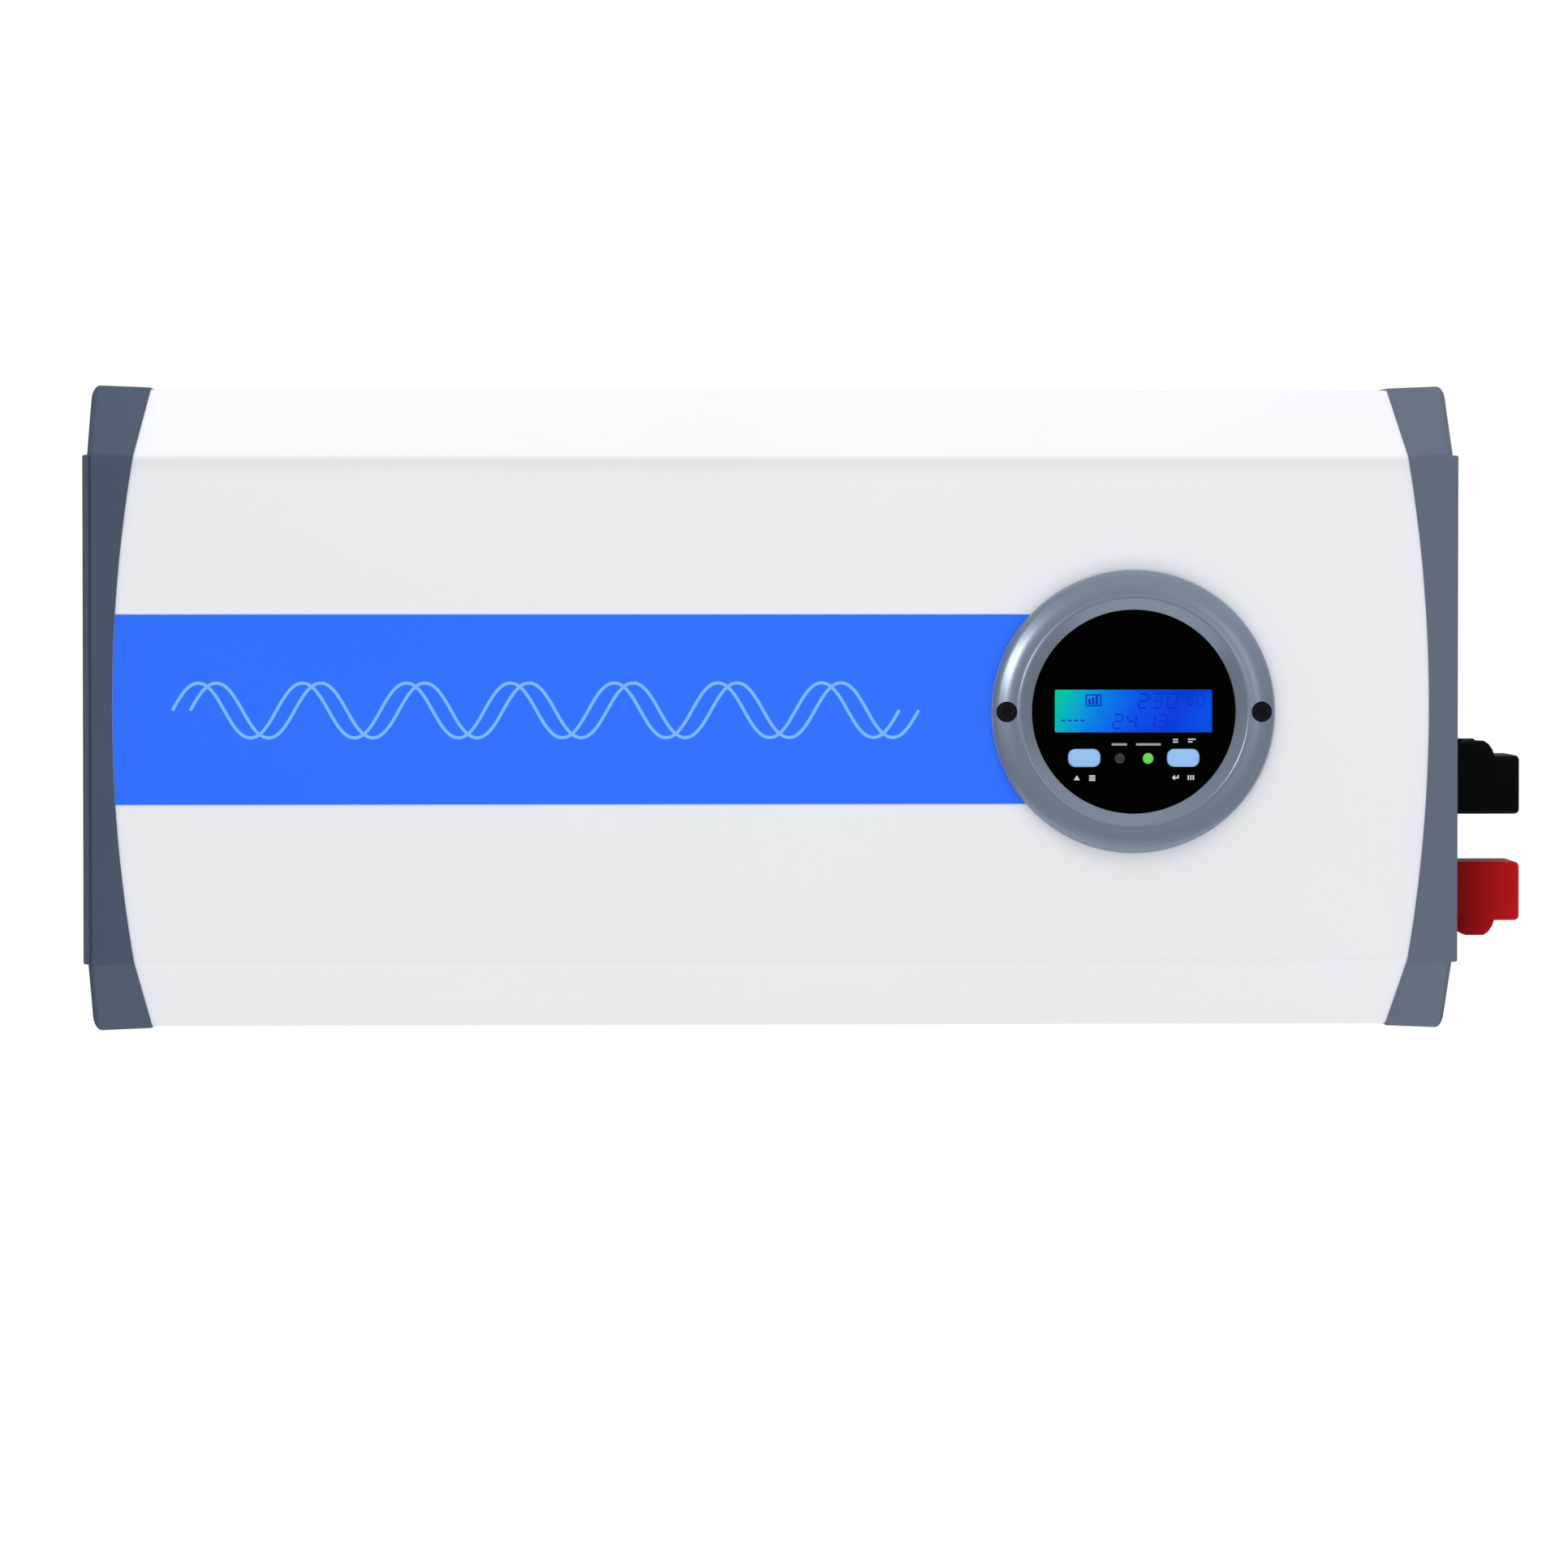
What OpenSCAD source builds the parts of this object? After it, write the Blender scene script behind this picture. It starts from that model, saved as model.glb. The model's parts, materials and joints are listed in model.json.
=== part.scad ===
// Wall-mounted power inverter: a white extruded shell over a finned heat-sink base, closed by two
// slate-grey end caps. A round control display sits in the front, the AC sockets are in the left
// end, and the fan and the two battery terminals are in the right end.
// Frame: +X to the right along the case, +Y towards the wall, +Z up. The origin is the centre of
// the four wall fixing holes, on the plane of the wall. All sizes are in millimetres.

/* [Case] */
// Length over both end caps
case_length = 493; // [440:1:560]
// Height of the white shell, from its top side to its bottom side
shell_height = 230; // [224:1:240]
// Distance from the wall to the flat front of the shell
face_depth = 118; // [114:1:126]
// Height of the flat part of the front, between the two sloping sides
face_height = 181; // [174:1:186]
// Wall thickness of the shell
shell_wall = 2; // [1.6:0.1:2.4]
// How far a cap stands proud of the shell at its outer end
cap_proud = 1.5; // [1.2:0.05:2]
// Thickness of a cap at its thin inner lip
cap_lip = 0.8; // [0.5:0.1:1.1]
// Distance from the centre of the case to the cap's lip, half way up the front
lip_centre = 236.1; // [212:0.1:269]
// How far the lip has curved in at the edge of the flat front
lip_sagitta = 7.7; // [5:0.1:9]
// Distance that the lip runs in again across each sloping side
lip_run = 4.7; // [3:0.1:8]

/* [Heat sink] */
// Thickness of the heat sink's fins
fin_thickness = 2; // [1.6:0.1:3]
// Distance between the middles of neighbouring fins
fin_pitch = 8.5; // [7:0.5:12]
// Horizontal distance between the wall fixing holes
fixing_spacing_x = 420; // [380:5:430]
// Vertical distance between the wall fixing holes
fixing_spacing_z = 145; // [135:1:150]
// Radius of an M6 tapped fixing hole
fixing_radius = 2.5; // [2.5:0.1:3]

/* [Display] */
// Distance from the centre of the case to the middle of the display
display_x = 129.6; // [60:0.1:150]
// Height of the display's middle above the middle of the case
display_z = -0.9; // [-20:0.1:20]
// Outer radius of the display's bezel
bezel_radius = 50.9; // [50:0.1:52]
// How far the bezel stands proud of the front
bezel_height = 5; // [4:0.1:6]
// Distance of a bezel screw from the middle of the display
bezel_screw_offset = 45.8; // [45.2:0.1:46.2]
// Radius of the ridge that runs round the bezel
bezel_ridge = 41.2; // [40:0.1:41.8]
// Radius of the black window that shows inside the bezel
window_sight = 36.6; // [36.2:0.1:37.2]
// Distance that a push button travels
button_travel = 0.8; // [0.5:0.1:1]

/* [Front label] */
// Height of the blue band
label_height = 68; // [50:1:80]
// Thickness of the blue band
label_thickness = 0.25; // [0.2:0.05:0.4]

/* [Left end] */
// Radius of the round well of an AC socket
socket_radius = 19.5; // [19:0.1:20]
// Distance between the two pin holes of an AC socket
pin_spacing = 19; // [18.8:0.1:19.2]
// Angle that the rocker leans at each of its two settings
rocker_lean = 11; // [8:1:12]

/* [Right end] */
// Outer width and height of the fan
fan_size = 80; // [76:1:80]
// Number of fan blades
fan_blades = 7; // [5:1:9]
// Distance between the two battery studs
stud_spacing = 38.4; // [36:0.1:40]
// Height of the point half way between the studs
stud_middle_z = -48.4; // [-50:0.1:-46]
// Radius of an M8 battery stud
stud_radius = 4; // [4:0.1:4.2]
// How far a terminal cover reaches out from the end panel
cover_reach = 35; // [34:0.1:38]

/* [Hidden] */
$fn = 48;
eps = 0.01;

// Case
half_length = case_length / 2;
face_half = face_height / 2;
mitre = tan(22.5);
panel_face = half_length - 6;      // outer face of an end panel
panel_thickness = 1.5;
shell_end = panel_face - panel_thickness;
shell_back = -6;                   // the shell's free edge stops this far from the wall
crease_radius = 2.5;               // outside radius of the shell's four bends
end_radius = 4;                    // rounding of a cap's outer end
cap_back = -1;
lip_radius = (face_half * face_half + lip_sagitta * lip_sagitta) / (2 * lip_sagitta);
lip_crease = lip_centre - lip_sagitta;
lip_side = lip_crease - lip_run;
side_z = shell_height / 2;
rim_width = 10.25;                 // width of the cap's rim, from the shell's outline inwards
rim_foot = 12;                     // height of the rim's bar along the wall side
port_y = -(face_depth - 5.6);      // screw ports inside the front of the shell
port_z = 78;
rail_z = fixing_spacing_z / 2;
rail_screw_y = -7;

// Heat sink
plate_top = -22;
plate_back = -17;
fin_back = -1;
fin_reach = 98;
rail_width = 16;
flange_outer = side_z - shell_wall - 0.1;
flange_thickness = 2.5;
flange_top = -42;
side_screw_xs = [-180, -60, 60, 180];
side_screw_y = -28;

// Screws
m4_shank = 1.95;
m4_thread_hole = 2;
m4_hole = 2.1;
m4_head = 3.6;

// Display: heights are measured outwards from the shell's front
window_radius = 41.2;
window_top = 1.4;
window_back = -0.6;
board_top = -7.4;
lcd_size = [56.7, 15.4];
lcd_y = 0.2;
button_size = [11.9, 6.7];
button_xs = [-17.8, 17.8];
button_y = -16.6;
lamp_xs = [-5, 5.2];
lamp_y = -16.8;
lamp_radius = 2;
gap = 0.15;                        // clearance round a push button and a lens

// Left end: positions are [y, z]
upper_socket = [-60, 66];
lower_socket = [-60, 12];
rocker_place = [-60, -34];
terminal_place = [-60, -74];
terminal_pitch = 12;
data_place = [-38, -34];
remote_place = [-84, -34];
socket_plate = 50;
socket_body_radius = 21.5;
socket_floor = -14.5;
socket_back = -34;
rocker_axis_h = -2;
rocker_swing = 12.2;

// Right end
fan_place = [-62.5, 51];
fan_thickness = 25;
duct_radius = 38.5;
hub_radius = 18;
fan_hole = 35.75;
guard_thickness = 1.6;
stud_y = -60;
earth_place = [-40, -92];
base_height = 10;
stud_top = 29;
stud_core = 3.4;                   // radius of the stud where it carries its nuts
hinge_out = 20;                    // the hinge axis, measured out from the panel
hinge_up = 11.3;                   // and from the stud, away from the other stud
knuckle_radius = 5.2;
pin_radius = 1.5;
pin_bore = 1.55;
cover_low = -10.4;
cover_high = 11.1;
cover_half = 15;
cover_wall = 1.8;
notch_radius = 7;
cover_start = base_height + 0.3;

// Inside
board_size = [370, 1.6, 192];
board_y = -30.4;                   // wall side of the main board
board_face = board_y - board_size[1];
fixing_xs = [-175, -60, 60, 175];
fixing_zs = [-88, 88];
transformer_xs = [-45, 20, 85];
transistor_xs = [for (i = [0:5]) -150 + 60 * i];

// ---------- helpers ----------

function unit(v) = v / norm(v);
function half_turn(a) = a > 180 ? a - 360 : a < -180 ? a + 360 : a;

// Points of an arc that rounds one corner of an outline
function corner_arc(before, corner, after, r, steps) = r <= 0 ? [corner] :
    let (u = unit(before - corner), v = unit(after - corner), half = acos(u * v) / 2,
         centre = corner + unit(u + v) * r / sin(half),
         first = corner + u * r / tan(half) - centre,
         last = corner + v * r / tan(half) - centre,
         start = atan2(first[1], first[0]),
         sweep = half_turn(atan2(last[1], last[0]) - start))
    [for (i = [0:steps]) centre + r * [cos(start + sweep * i / steps), sin(start + sweep * i / steps)]];

// An outline with each corner rounded by its own radius
function rounded(points, radii, steps = 5) = [
    for (i = [0:len(points) - 1]) each corner_arc(
        points[(i + len(points) - 1) % len(points)], points[i], points[(i + 1) % len(points)],
        radii[i], steps)];

module rounded_rectangle(w, h, r)
    polygon(rounded([[-w, -h] / 2, [w, -h] / 2, [w, h] / 2, [-w, h] / 2], [r, r, r, r]));

// Extrudes a [y, z] outline along X
module along_x(from, to)
    translate([from, 0, 0]) rotate([90, 0, 90]) linear_extrude(to - from) children();

// Extrudes an [x, z] outline along Y
module along_y(from, to)
    translate([0, to, 0]) rotate([90, 0, 0]) linear_extrude(to - from) children();

// Local frame on the front: X right, Y up, Z out of the face
module on_face(x = 0, z = 0)
    translate([x, -face_depth, z]) rotate([90, 0, 0]) children();

// The same frame, moved to the middle of the display
module on_display()
    on_face(display_x, display_z) children();

// Right-hand end as drawn, or its mirror image at the left-hand end
module end(side)
    if (side > 0) children();
    else mirror([1, 0, 0]) children();

// Local frame on an end panel: X towards the wall, Y up, Z out of the panel
module on_end(side, place)
    end(side) translate([panel_face, place[0], place[1]]) rotate([90, 0, 90]) children();

// A straight round hole or rod from one height to another
module rod(r, from, to)
    translate([0, 0, from]) cylinder(r = r, h = to - from);

// A rounded block from one height to another
module block(w, h, r, from, to)
    translate([0, 0, from]) linear_extrude(to - from) rounded_rectangle(w, h, r);

// A cap screw whose head stands on height 0
module cap_screw(head_r, head_h, shank_r, length)
    difference() {
        union() {
            rod(head_r, 0, head_h);
            rod(shank_r, -length, eps);
        }
        translate([0, 0, head_h - 0.6 * head_h]) cylinder(r = 0.5 * head_r, h = head_h, $fn = 6);
    }

// Cross-section of the case, grown or shrunk, cut off at a greatest half height
function case_points(grow, back, half_limit) =
    let (front = -face_depth - grow, flat = face_half + grow * mitre,
         half = min(side_z + grow, half_limit), side = front + half - flat)
    [[back, -half], [side, -half], [front, -flat], [front, flat], [side, half], [back, half]];

module case_outline(grow, back, half_limit = 1000, back_radius = 0) {
    r = crease_radius + min(grow, 0);
    polygon(rounded(case_points(grow, back, half_limit), [back_radius, r, r, r, r, back_radius]));
}

// ---------- case ----------

module front_shell() color("white")
    difference() {
        union() {
            difference() {
                along_x(-shell_end, shell_end) case_outline(0, shell_back);
                along_x(-shell_end - 1, shell_end + 1) case_outline(-shell_wall, 1);
            }
            for (z = [-port_z, port_z]) translate([-shell_end, port_y, z])
                rotate([0, 90, 0]) cylinder(r = 4, h = 2 * shell_end);
        }
        for (z = [-port_z, port_z]) translate([-shell_end - 1, port_y, z])
            rotate([0, 90, 0]) cylinder(r = m4_thread_hole, h = 2 * shell_end + 2);
        on_display() {
            rod(43, -3, 1);
            for (x = [-bezel_screw_offset, bezel_screw_offset]) translate([x, 0, 0]) rod(m4_hole, -3, 1);
        }
        side_screw_places() {
            rod(m4_hole, -3, 1);
            translate([0, 0, -shell_wall]) cylinder(r1 = m4_hole, r2 = m4_hole + shell_wall, h = shell_wall);
            rod(m4_hole + shell_wall, -eps, 1);
        }
    }

// Places on both sides of the case where screws join the shell to the heat sink; Z points out
module side_screw_places()
    for (x = side_screw_xs, up = [0, 180])
        translate([x, side_screw_y, 0]) rotate([up, 0, 0]) translate([0, 0, side_z]) children();

module shell_screws() color("silver")
    side_screw_places() difference() {
        union() {
            translate([0, 0, -shell_wall + 0.05])
                cylinder(r1 = m4_shank, r2 = m4_shank + shell_wall - 0.1, h = shell_wall - 0.1);
            rod(m4_shank, -7, -shell_wall + 0.1);
        }
        translate([0, 0, -1.2]) cylinder(r = 1.3, h = 3, $fn = 6);
    }

module heat_sink_base() color("gainsboro")
    difference() {
        along_x(-shell_end, shell_end) heat_sink_section();
        for (z = [-rail_z, rail_z], side = [-1, 1]) end(side)
            translate([shell_end - 16, rail_screw_y, z]) rotate([0, 90, 0])
                cylinder(r = m4_thread_hole, h = 20);
        for (x = [-fixing_spacing_x, fixing_spacing_x] / 2, z = [-rail_z, rail_z])
            translate([x, -14, z]) rotate([-90, 0, 0]) cylinder(r = fixing_radius, h = 20);
        for (x = side_screw_xs, up = [0, 180])
            translate([x, side_screw_y, 0]) rotate([up, 0, 0]) translate([0, 0, 100])
                cylinder(r = m4_thread_hole, h = 20);
        for (x = fixing_xs, z = fixing_zs)
            translate([x, plate_top - 1, z]) rotate([-90, 0, 0]) cylinder(r = 1.6, h = 4);
    }

module heat_sink_section() {
    translate([plate_top, -flange_outer]) square([plate_back - plate_top, 2 * flange_outer]);
    for (z = [-flange_outer, flange_outer - flange_thickness])
        translate([flange_top, z]) square([fin_back - flange_top, flange_thickness]);
    for (z = [-rail_z, rail_z])
        translate([plate_top, z - rail_width / 2]) square([-plate_top, rail_width]);
    for (i = [-floor(fin_reach / fin_pitch):floor(fin_reach / fin_pitch)])
        if (abs(abs(i * fin_pitch) - rail_z) > rail_width / 2 + 2)
            translate([plate_back - eps, i * fin_pitch - fin_thickness / 2])
                square([fin_back - plate_back, fin_thickness]);
}

// The blue band: its left end follows the cap's lip, and its right end the bezel
module front_label() color("royalblue")
    difference() {
        intersection() {
            along_y(-face_depth - label_thickness, -face_depth)
                translate([-half_length, -label_height / 2]) square([half_length + display_x, label_height]);
            translate([gap, 0, 0]) lip_cutter(-1);
        }
        on_display() rod(bezel_radius + gap, -1, 2);
    }

// Everything on the inner side of a cap's lip, seen from the front
module lip_cutter(side) {
    steps = 24;
    far = display_x + 20;          // far enough past the middle for the label, too
    tall = side_z + 20;
    arc = [for (i = [-steps:steps]) let (z = face_half * i / steps)
        [lip_centre - lip_radius + sqrt(lip_radius * lip_radius - z * z), z]];
    end(side) along_y(-face_depth - 20, 10) polygon(concat(
        [[-far, tall], [-far, -tall], [lip_side, -tall], [lip_side, -side_z]], arc,
        [[lip_side, side_z], [lip_side, tall]]));
}

// A cap's full outer body, drawn for the right-hand end
module cap_body()
    hull() {
        along_x(lip_side - 3, lip_side - 2) case_outline(cap_lip, cap_back);
        for (turn = [0:30:90]) let (x = half_length - end_radius * (1 - sin(turn)))
            along_x(x - 0.1, x) case_outline(cap_proud - end_radius * (1 - cos(turn)), cap_back);
    }

module end_cap(side) color("slategray")
    difference() {
        end(side) difference() {
            cap_body();
            along_x(0, panel_face + 0.1) case_outline(0.15, 5);
            along_x(panel_face - 1, half_length + 1)
                case_outline(-rim_width, cap_back - rim_foot, 1000, 6);
            cap_screw_places(1) {
                rod(m4_hole, -20, 1);
                rod(m4_head + 0.2, 0, 6);
            }
        }
        lip_cutter(side);
    }

// Where the four long screws go through a cap's rim; height 0 is under the screw's head
module cap_screw_places(side)
    for (place = [[port_y, -port_z], [port_y, port_z], [rail_screw_y, -rail_z], [rail_screw_y, rail_z]])
        on_end(side, place) translate([0, 0, 3.4]) children();

module cap_screws(side) color("dimgray")
    cap_screw_places(side) cap_screw(m4_head, 2.4, m4_shank, 18);

module end_panel_blank(side)
    difference() {
        end(side) along_x(shell_end, panel_face) case_outline(-0.3, -1.5);
        cap_screw_places(side) rod(m4_hole, -20, 1);
    }

// A row of upright ventilation slots between two heights z, each reaching from y to y + length
module slots(side, y, length, from_z, to_z)
    for (z = [from_z:7:to_z]) on_end(side, [y, z])
        translate([0, -1.5, -3]) cube([length, 3, 5]);

module left_end_panel() color("darkslategray")
    difference() {
        end_panel_blank(-1);
        slots(-1, -104, 13, -84, 84);
        slots(-1, -33.5, 10, -10, 95);
        for (place = [upper_socket, lower_socket]) on_end(-1, place) rod(socket_body_radius + 0.3, -3, 1);
        on_end(-1, rocker_place) block(20.4, 27.4, 1, -3, 1);
        on_end(-1, terminal_place) block(24.4, 40.4, 1, -3, 1);
        on_end(-1, data_place) block(13.9, 16.4, 0.5, -3, 1);
        on_end(-1, remote_place) block(8.4, 12.4, 0.5, -3, 1);
    }

module right_end_panel() color("darkslategray")
    difference() {
        end_panel_blank(1);
        on_end(1, fan_place) {
            rod(duct_radius - 0.5, -3, 1);
            fan_corners() rod(m4_hole, -3, 1);
        }
        for (up = [1, -1]) terminal(up) rod(9.1, -3, 1);
        on_end(1, earth_place) rod(2.6, -3, 1);
    }

// ---------- display ----------

module display_bezel() color("lightslategray")
    on_display() difference() {
        rotate_extrude() polygon(rounded([
            [window_radius + 0.2, 0], [bezel_radius, 0], [bezel_radius, 1.4],
            [bezel_radius - 2.6, 3.6], [bezel_ridge + 1.6, bezel_height], [bezel_ridge, bezel_height],
            [window_sight, 1.9], [window_sight, window_top + 0.05],
            [window_radius + 0.2, window_top + 0.05]],
            [0, 0, 0.6, 2, 2, 0.5, 0, 0, 0]));
        bezel_screw_places() {
            rod(m4_hole, -10, 10);
            rod(m4_head + 0.1, 0, 10);
        }
    }

module bezel_screw_places()
    for (x = [-bezel_screw_offset, bezel_screw_offset]) translate([x, 0, 1]) children();

module bezel_screws() color("black")
    on_display() bezel_screw_places() cap_screw(m4_head - 0.1, 2, m4_shank, 9);

module display_window() color("black")
    on_display() difference() {
        rod(window_radius, window_back, window_top);
        translate([0, lcd_y, 0]) block(lcd_size[0], lcd_size[1], 0.6, -2, 3);
        for (x = button_xs) translate([x, button_y, 0]) block(button_size[0], button_size[1], 2.6, -2, 3);
        for (x = lamp_xs) translate([x, lamp_y, 0]) rod(lamp_radius, -2, 3);
    }

module display_gasket() color("dimgray")
    on_display() difference() {
        rod(41, -shell_wall, window_back);
        rod(38.6, -3, 0);
    }

module display_carrier() color("dimgray")
    on_display() difference() {
        union() {
            rod(50.3, -4, -shell_wall);
            rod(42.6, -14, -shell_wall);
            for (x = [-bezel_screw_offset, bezel_screw_offset]) translate([x, 0, 0]) rod(3.6, -9, -3);
        }
        rod(38.5, -20, 0);
        rod(40.6, -20, board_top);
        for (x = [-bezel_screw_offset, bezel_screw_offset]) translate([x, 0, 0]) rod(m4_thread_hole, -20, 0);
    }

module display_board() color("darkgreen")
    on_display() rod(40.3, board_top - 1.6, board_top);

// A plate that fits the window's LCD opening
module lcd_block(from, to)
    translate([0, lcd_y, 0]) block(lcd_size[0] - 2 * gap, lcd_size[1] - 2 * gap, 0.5, from, to);

module lcd_lens() color("lightskyblue")
    on_display() lcd_block(0.2, window_top);

module lcd_glass() color("dodgerblue")
    on_display() lcd_block(-0.9, 0.1);

module lcd_frame() color("silver")
    on_display() translate([0, lcd_y, 0]) block(62, 20, 1, board_top, -0.9);

module tact_switches() color("black")
    on_display() for (x = button_xs) translate([x, button_y, 0]) {
        block(6, 6, 0.4, board_top, board_top + 1.8);
        rod(1.6, board_top + 1.8, board_top + 2.2);
    }

module push_button(x) color("lightblue")
    on_display() translate([x, button_y, 0]) {
        block(button_size[0] - 2 * gap, button_size[1] - 2 * gap, 2.5, -1.8, window_top + 1);
        block(13.5, 8.3, 3, -1.9, window_back - 0.1);
        rod(1.6, -4.1, -1.9);
    }

module lamp(x)
    on_display() translate([x, lamp_y, 0]) {
        rod(lamp_radius - 0.1, board_top, window_top);
        rod(lamp_radius + 0.6, board_top, board_top + 1);
    }

module fault_lamp() color("dimgray") lamp(lamp_xs[0]);
module working_lamp() color("limegreen") lamp(lamp_xs[1]);

// ---------- left end ----------

module ac_socket(place) color("black")
    on_end(-1, place) difference() {
        union() {
            block(socket_plate, socket_plate, 5, 0, 3);
            rod(socket_body_radius, socket_back, 0.1);
        }
        rod(socket_radius, socket_floor, 4);
        for (b = [-pin_spacing, pin_spacing] / 2) translate([0, b, 0]) rod(2.8, socket_back + 1, 0);
    }

module socket_earth_clips() color("goldenrod")
    for (place = [upper_socket, lower_socket]) on_end(-1, place)
        for (turn = [0, 180]) rotate([0, 0, turn]) {
            translate([17.6, -2, socket_floor]) cube([1, 4, 14.5]);
            translate([13.6, -2, socket_floor]) cube([4.1, 4, 0.8]);
        }

module rocker_switch_body() color("black")
    on_end(-1, rocker_place) difference() {
        union() {
            block(23, 30, 1.5, 0, 2);
            block(20, 27, 0.8, -18, 0.1);
        }
        block(17.6, 25, 0.4, -16, 3);
        translate([0, 0, rocker_axis_h]) rotate([0, 90, 0]) cylinder(r = pin_bore, h = 19, center = true);
    }

// The rocker rests with its top pressed in, and swings until its foot is
module power_rocker() color("firebrick")
    on_end(-1, rocker_place) translate([0, 0, rocker_axis_h]) rotate([-rocker_lean, 0, 0]) {
        rotate([90, 0, 90]) linear_extrude(17, center = true) intersection() {
            polygon([[-13, 6.8], [0, 4], [13, 6.8], [13, -2], [6, -9], [-6, -9], [-13, -2]]);
            circle(r = rocker_swing);
        }
        rotate([0, 90, 0]) cylinder(r = pin_radius, h = 18.4, center = true);
    }

module ac_terminal_block() color("darkslategray")
    on_end(-1, terminal_place) difference() {
        union() {
            block(28, 44, 2, 0, 1.5);
            block(24, 40, 1, -20, 2.5);
        }
        for (i = [-1:1]) translate([0, i * terminal_pitch, 0]) {
            translate([-9.4, -3.4, -16]) cube([6.8, 6.8, 20]);
            translate([2.6, -3.4, -8]) cube([6.8, 6.8, 12]);
        }
    }

module ac_terminal_screws() color("silver")
    on_end(-1, terminal_place) for (i = [-1:1]) translate([6, i * terminal_pitch, -8]) difference() {
        rod(3.2, 0, 6);
        translate([0, 0, 6]) cube([8, 0.9, 3], center = true);
    }

module data_port() color("silver")
    on_end(-1, data_place) difference() {
        block(13.5, 16, 0.4, -17, 1);
        translate([0, 0, -14]) linear_extrude(16) {
            square([6.8, 11.7], center = true);
            translate([-4.2, 0]) square([3, 6], center = true);
        }
    }

module remote_port() color("seagreen")
    on_end(-1, remote_place) difference() {
        block(8, 12, 0.4, -12, 2.5);
        for (b = [-3, 3]) translate([0, b, 0]) rod(1.3, -9, 3);
    }

// ---------- fan ----------

module fan_corners()
    for (a = [-fan_hole, fan_hole], b = [-fan_hole, fan_hole]) translate([a, b, 0]) children();

fan_front = -panel_thickness;
fan_rear = fan_front - fan_thickness;

module fan_frame() color("black")
    on_end(1, fan_place) {
        difference() {
            block(fan_size, fan_size, 4, fan_rear, fan_front);
            rod(duct_radius, fan_rear - 1, fan_front + 1);
            fan_corners() rod(m4_hole, fan_rear - 1, fan_front + 1);
        }
        difference() {
            union() {
                rod(17, fan_rear, fan_rear + 3);
                rod(4, fan_rear, fan_front - 6);
                for (turn = [45:90:315]) rotate([0, 0, turn]) translate([16, -2, fan_rear])
                    cube([duct_radius - 15, 4, 3]);
            }
            rod(pin_bore, fan_rear + 2, fan_front);
        }
    }

module fan_stator() color("peru")
    on_end(1, fan_place) difference() {
        rod(14, fan_rear + 4, fan_front - 7);
        rod(4.1, fan_rear, fan_front);
    }

module fan_rotor() color("dimgray")
    on_end(1, fan_place) {
        difference() {
            rod(hub_radius, fan_rear + 3.8, fan_front - 2.5);
            rod(15.5, fan_rear, fan_front - 5);
        }
        rod(pin_radius, fan_rear + 2.5, fan_front - 4);
        intersection() {
            difference() {
                rod(duct_radius - 0.9, fan_rear, fan_front);
                rod(hub_radius - 0.3, fan_rear - 1, fan_front + 1);
            }
            for (i = [0:fan_blades - 1]) rotate([0, 0, 360 * i / fan_blades])
                translate([28, 0, (fan_front + fan_rear) / 2]) rotate([38, 0, 0])
                    cube([26, 25, 1.6], center = true);
        }
    }

module fan_guard() color("gray")
    on_end(1, fan_place) difference() {
        union() {
            for (r = [8:7:36]) difference() {
                rod(r + 0.9, 0, guard_thickness);
                rod(r - 0.9, -1, guard_thickness + 1);
            }
            for (turn = [45, 135]) rotate([0, 0, turn])
                translate([0, 0, guard_thickness / 2])
                    cube([2 * sqrt(2) * fan_hole, 3, guard_thickness], center = true);
            fan_corners() rod(4.8, 0, guard_thickness);
        }
        fan_corners() rod(m4_hole, -1, guard_thickness + 1);
    }

module fan_screws() color("silver")
    on_end(1, fan_place) fan_corners() translate([0, 0, guard_thickness])
        cap_screw(3.4, 2.2, m4_shank, 12);

// ---------- battery terminals ----------

// Local frame of a battery terminal: Z out of the panel along the stud, Y away from the other stud
module terminal(up)
    translate([0, 0, stud_middle_z]) mirror([0, 0, up > 0 ? 0 : 1]) translate([0, 0, -stud_middle_z])
        on_end(1, [stud_y, stud_middle_z + stud_spacing / 2]) children();

// Draws [out, up] outlines as plates across the terminal, between two distances from the stud
module across(from, to)
    translate([to, 0, 0]) rotate([0, -90, 0]) linear_extrude(to - from) children();

module terminal_base(up)
    terminal(up) difference() {
        union() {
            block(34, 25, 3, 0, base_height);
            rod(8.9, -13, 0.1);
            for (side = [0, 1]) mirror([side, 0, 0]) across(8.6, 11.4) hinge_lug();
        }
        rod(stud_radius + 0.05, -14, base_height + 1);
        across(-12, 12) translate([hinge_out, hinge_up]) circle(r = pin_bore);
    }

module hinge_lug() {
    translate([hinge_out, hinge_up]) circle(r = knuckle_radius);
    polygon([
        [base_height - 1, 7], [hinge_out, 7], [hinge_out, hinge_up],
        [hinge_out - 5, 12.4], [base_height - 1, 12.4]]);
}

// A stud whose free end has the full thread radius
module terminal_stud(up) color("gold")
    terminal(up) {
        rod(stud_core, -27, stud_top - 8.8);
        rod(stud_radius, stud_top - 8.8, stud_top);
        rod(5.5, -18, -13);
    }

// Flat washer, spring washer and nut outside the panel, and the nut that holds the busbar inside
module terminal_nuts(up) color("silver")
    terminal(up) difference() {
        union() {
            rod(7.2, base_height, base_height + 1.6);
            rod(6.2, base_height + 1.6, base_height + 3.6);
            translate([0, 0, base_height + 3.6]) cylinder(r = 7.5, h = 6.5, $fn = 6);
            translate([0, 0, -25.5]) cylinder(r = 7.5, h = 4.4, $fn = 6);
        }
        rod(stud_core + 0.05, -26, stud_top);
    }

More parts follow.
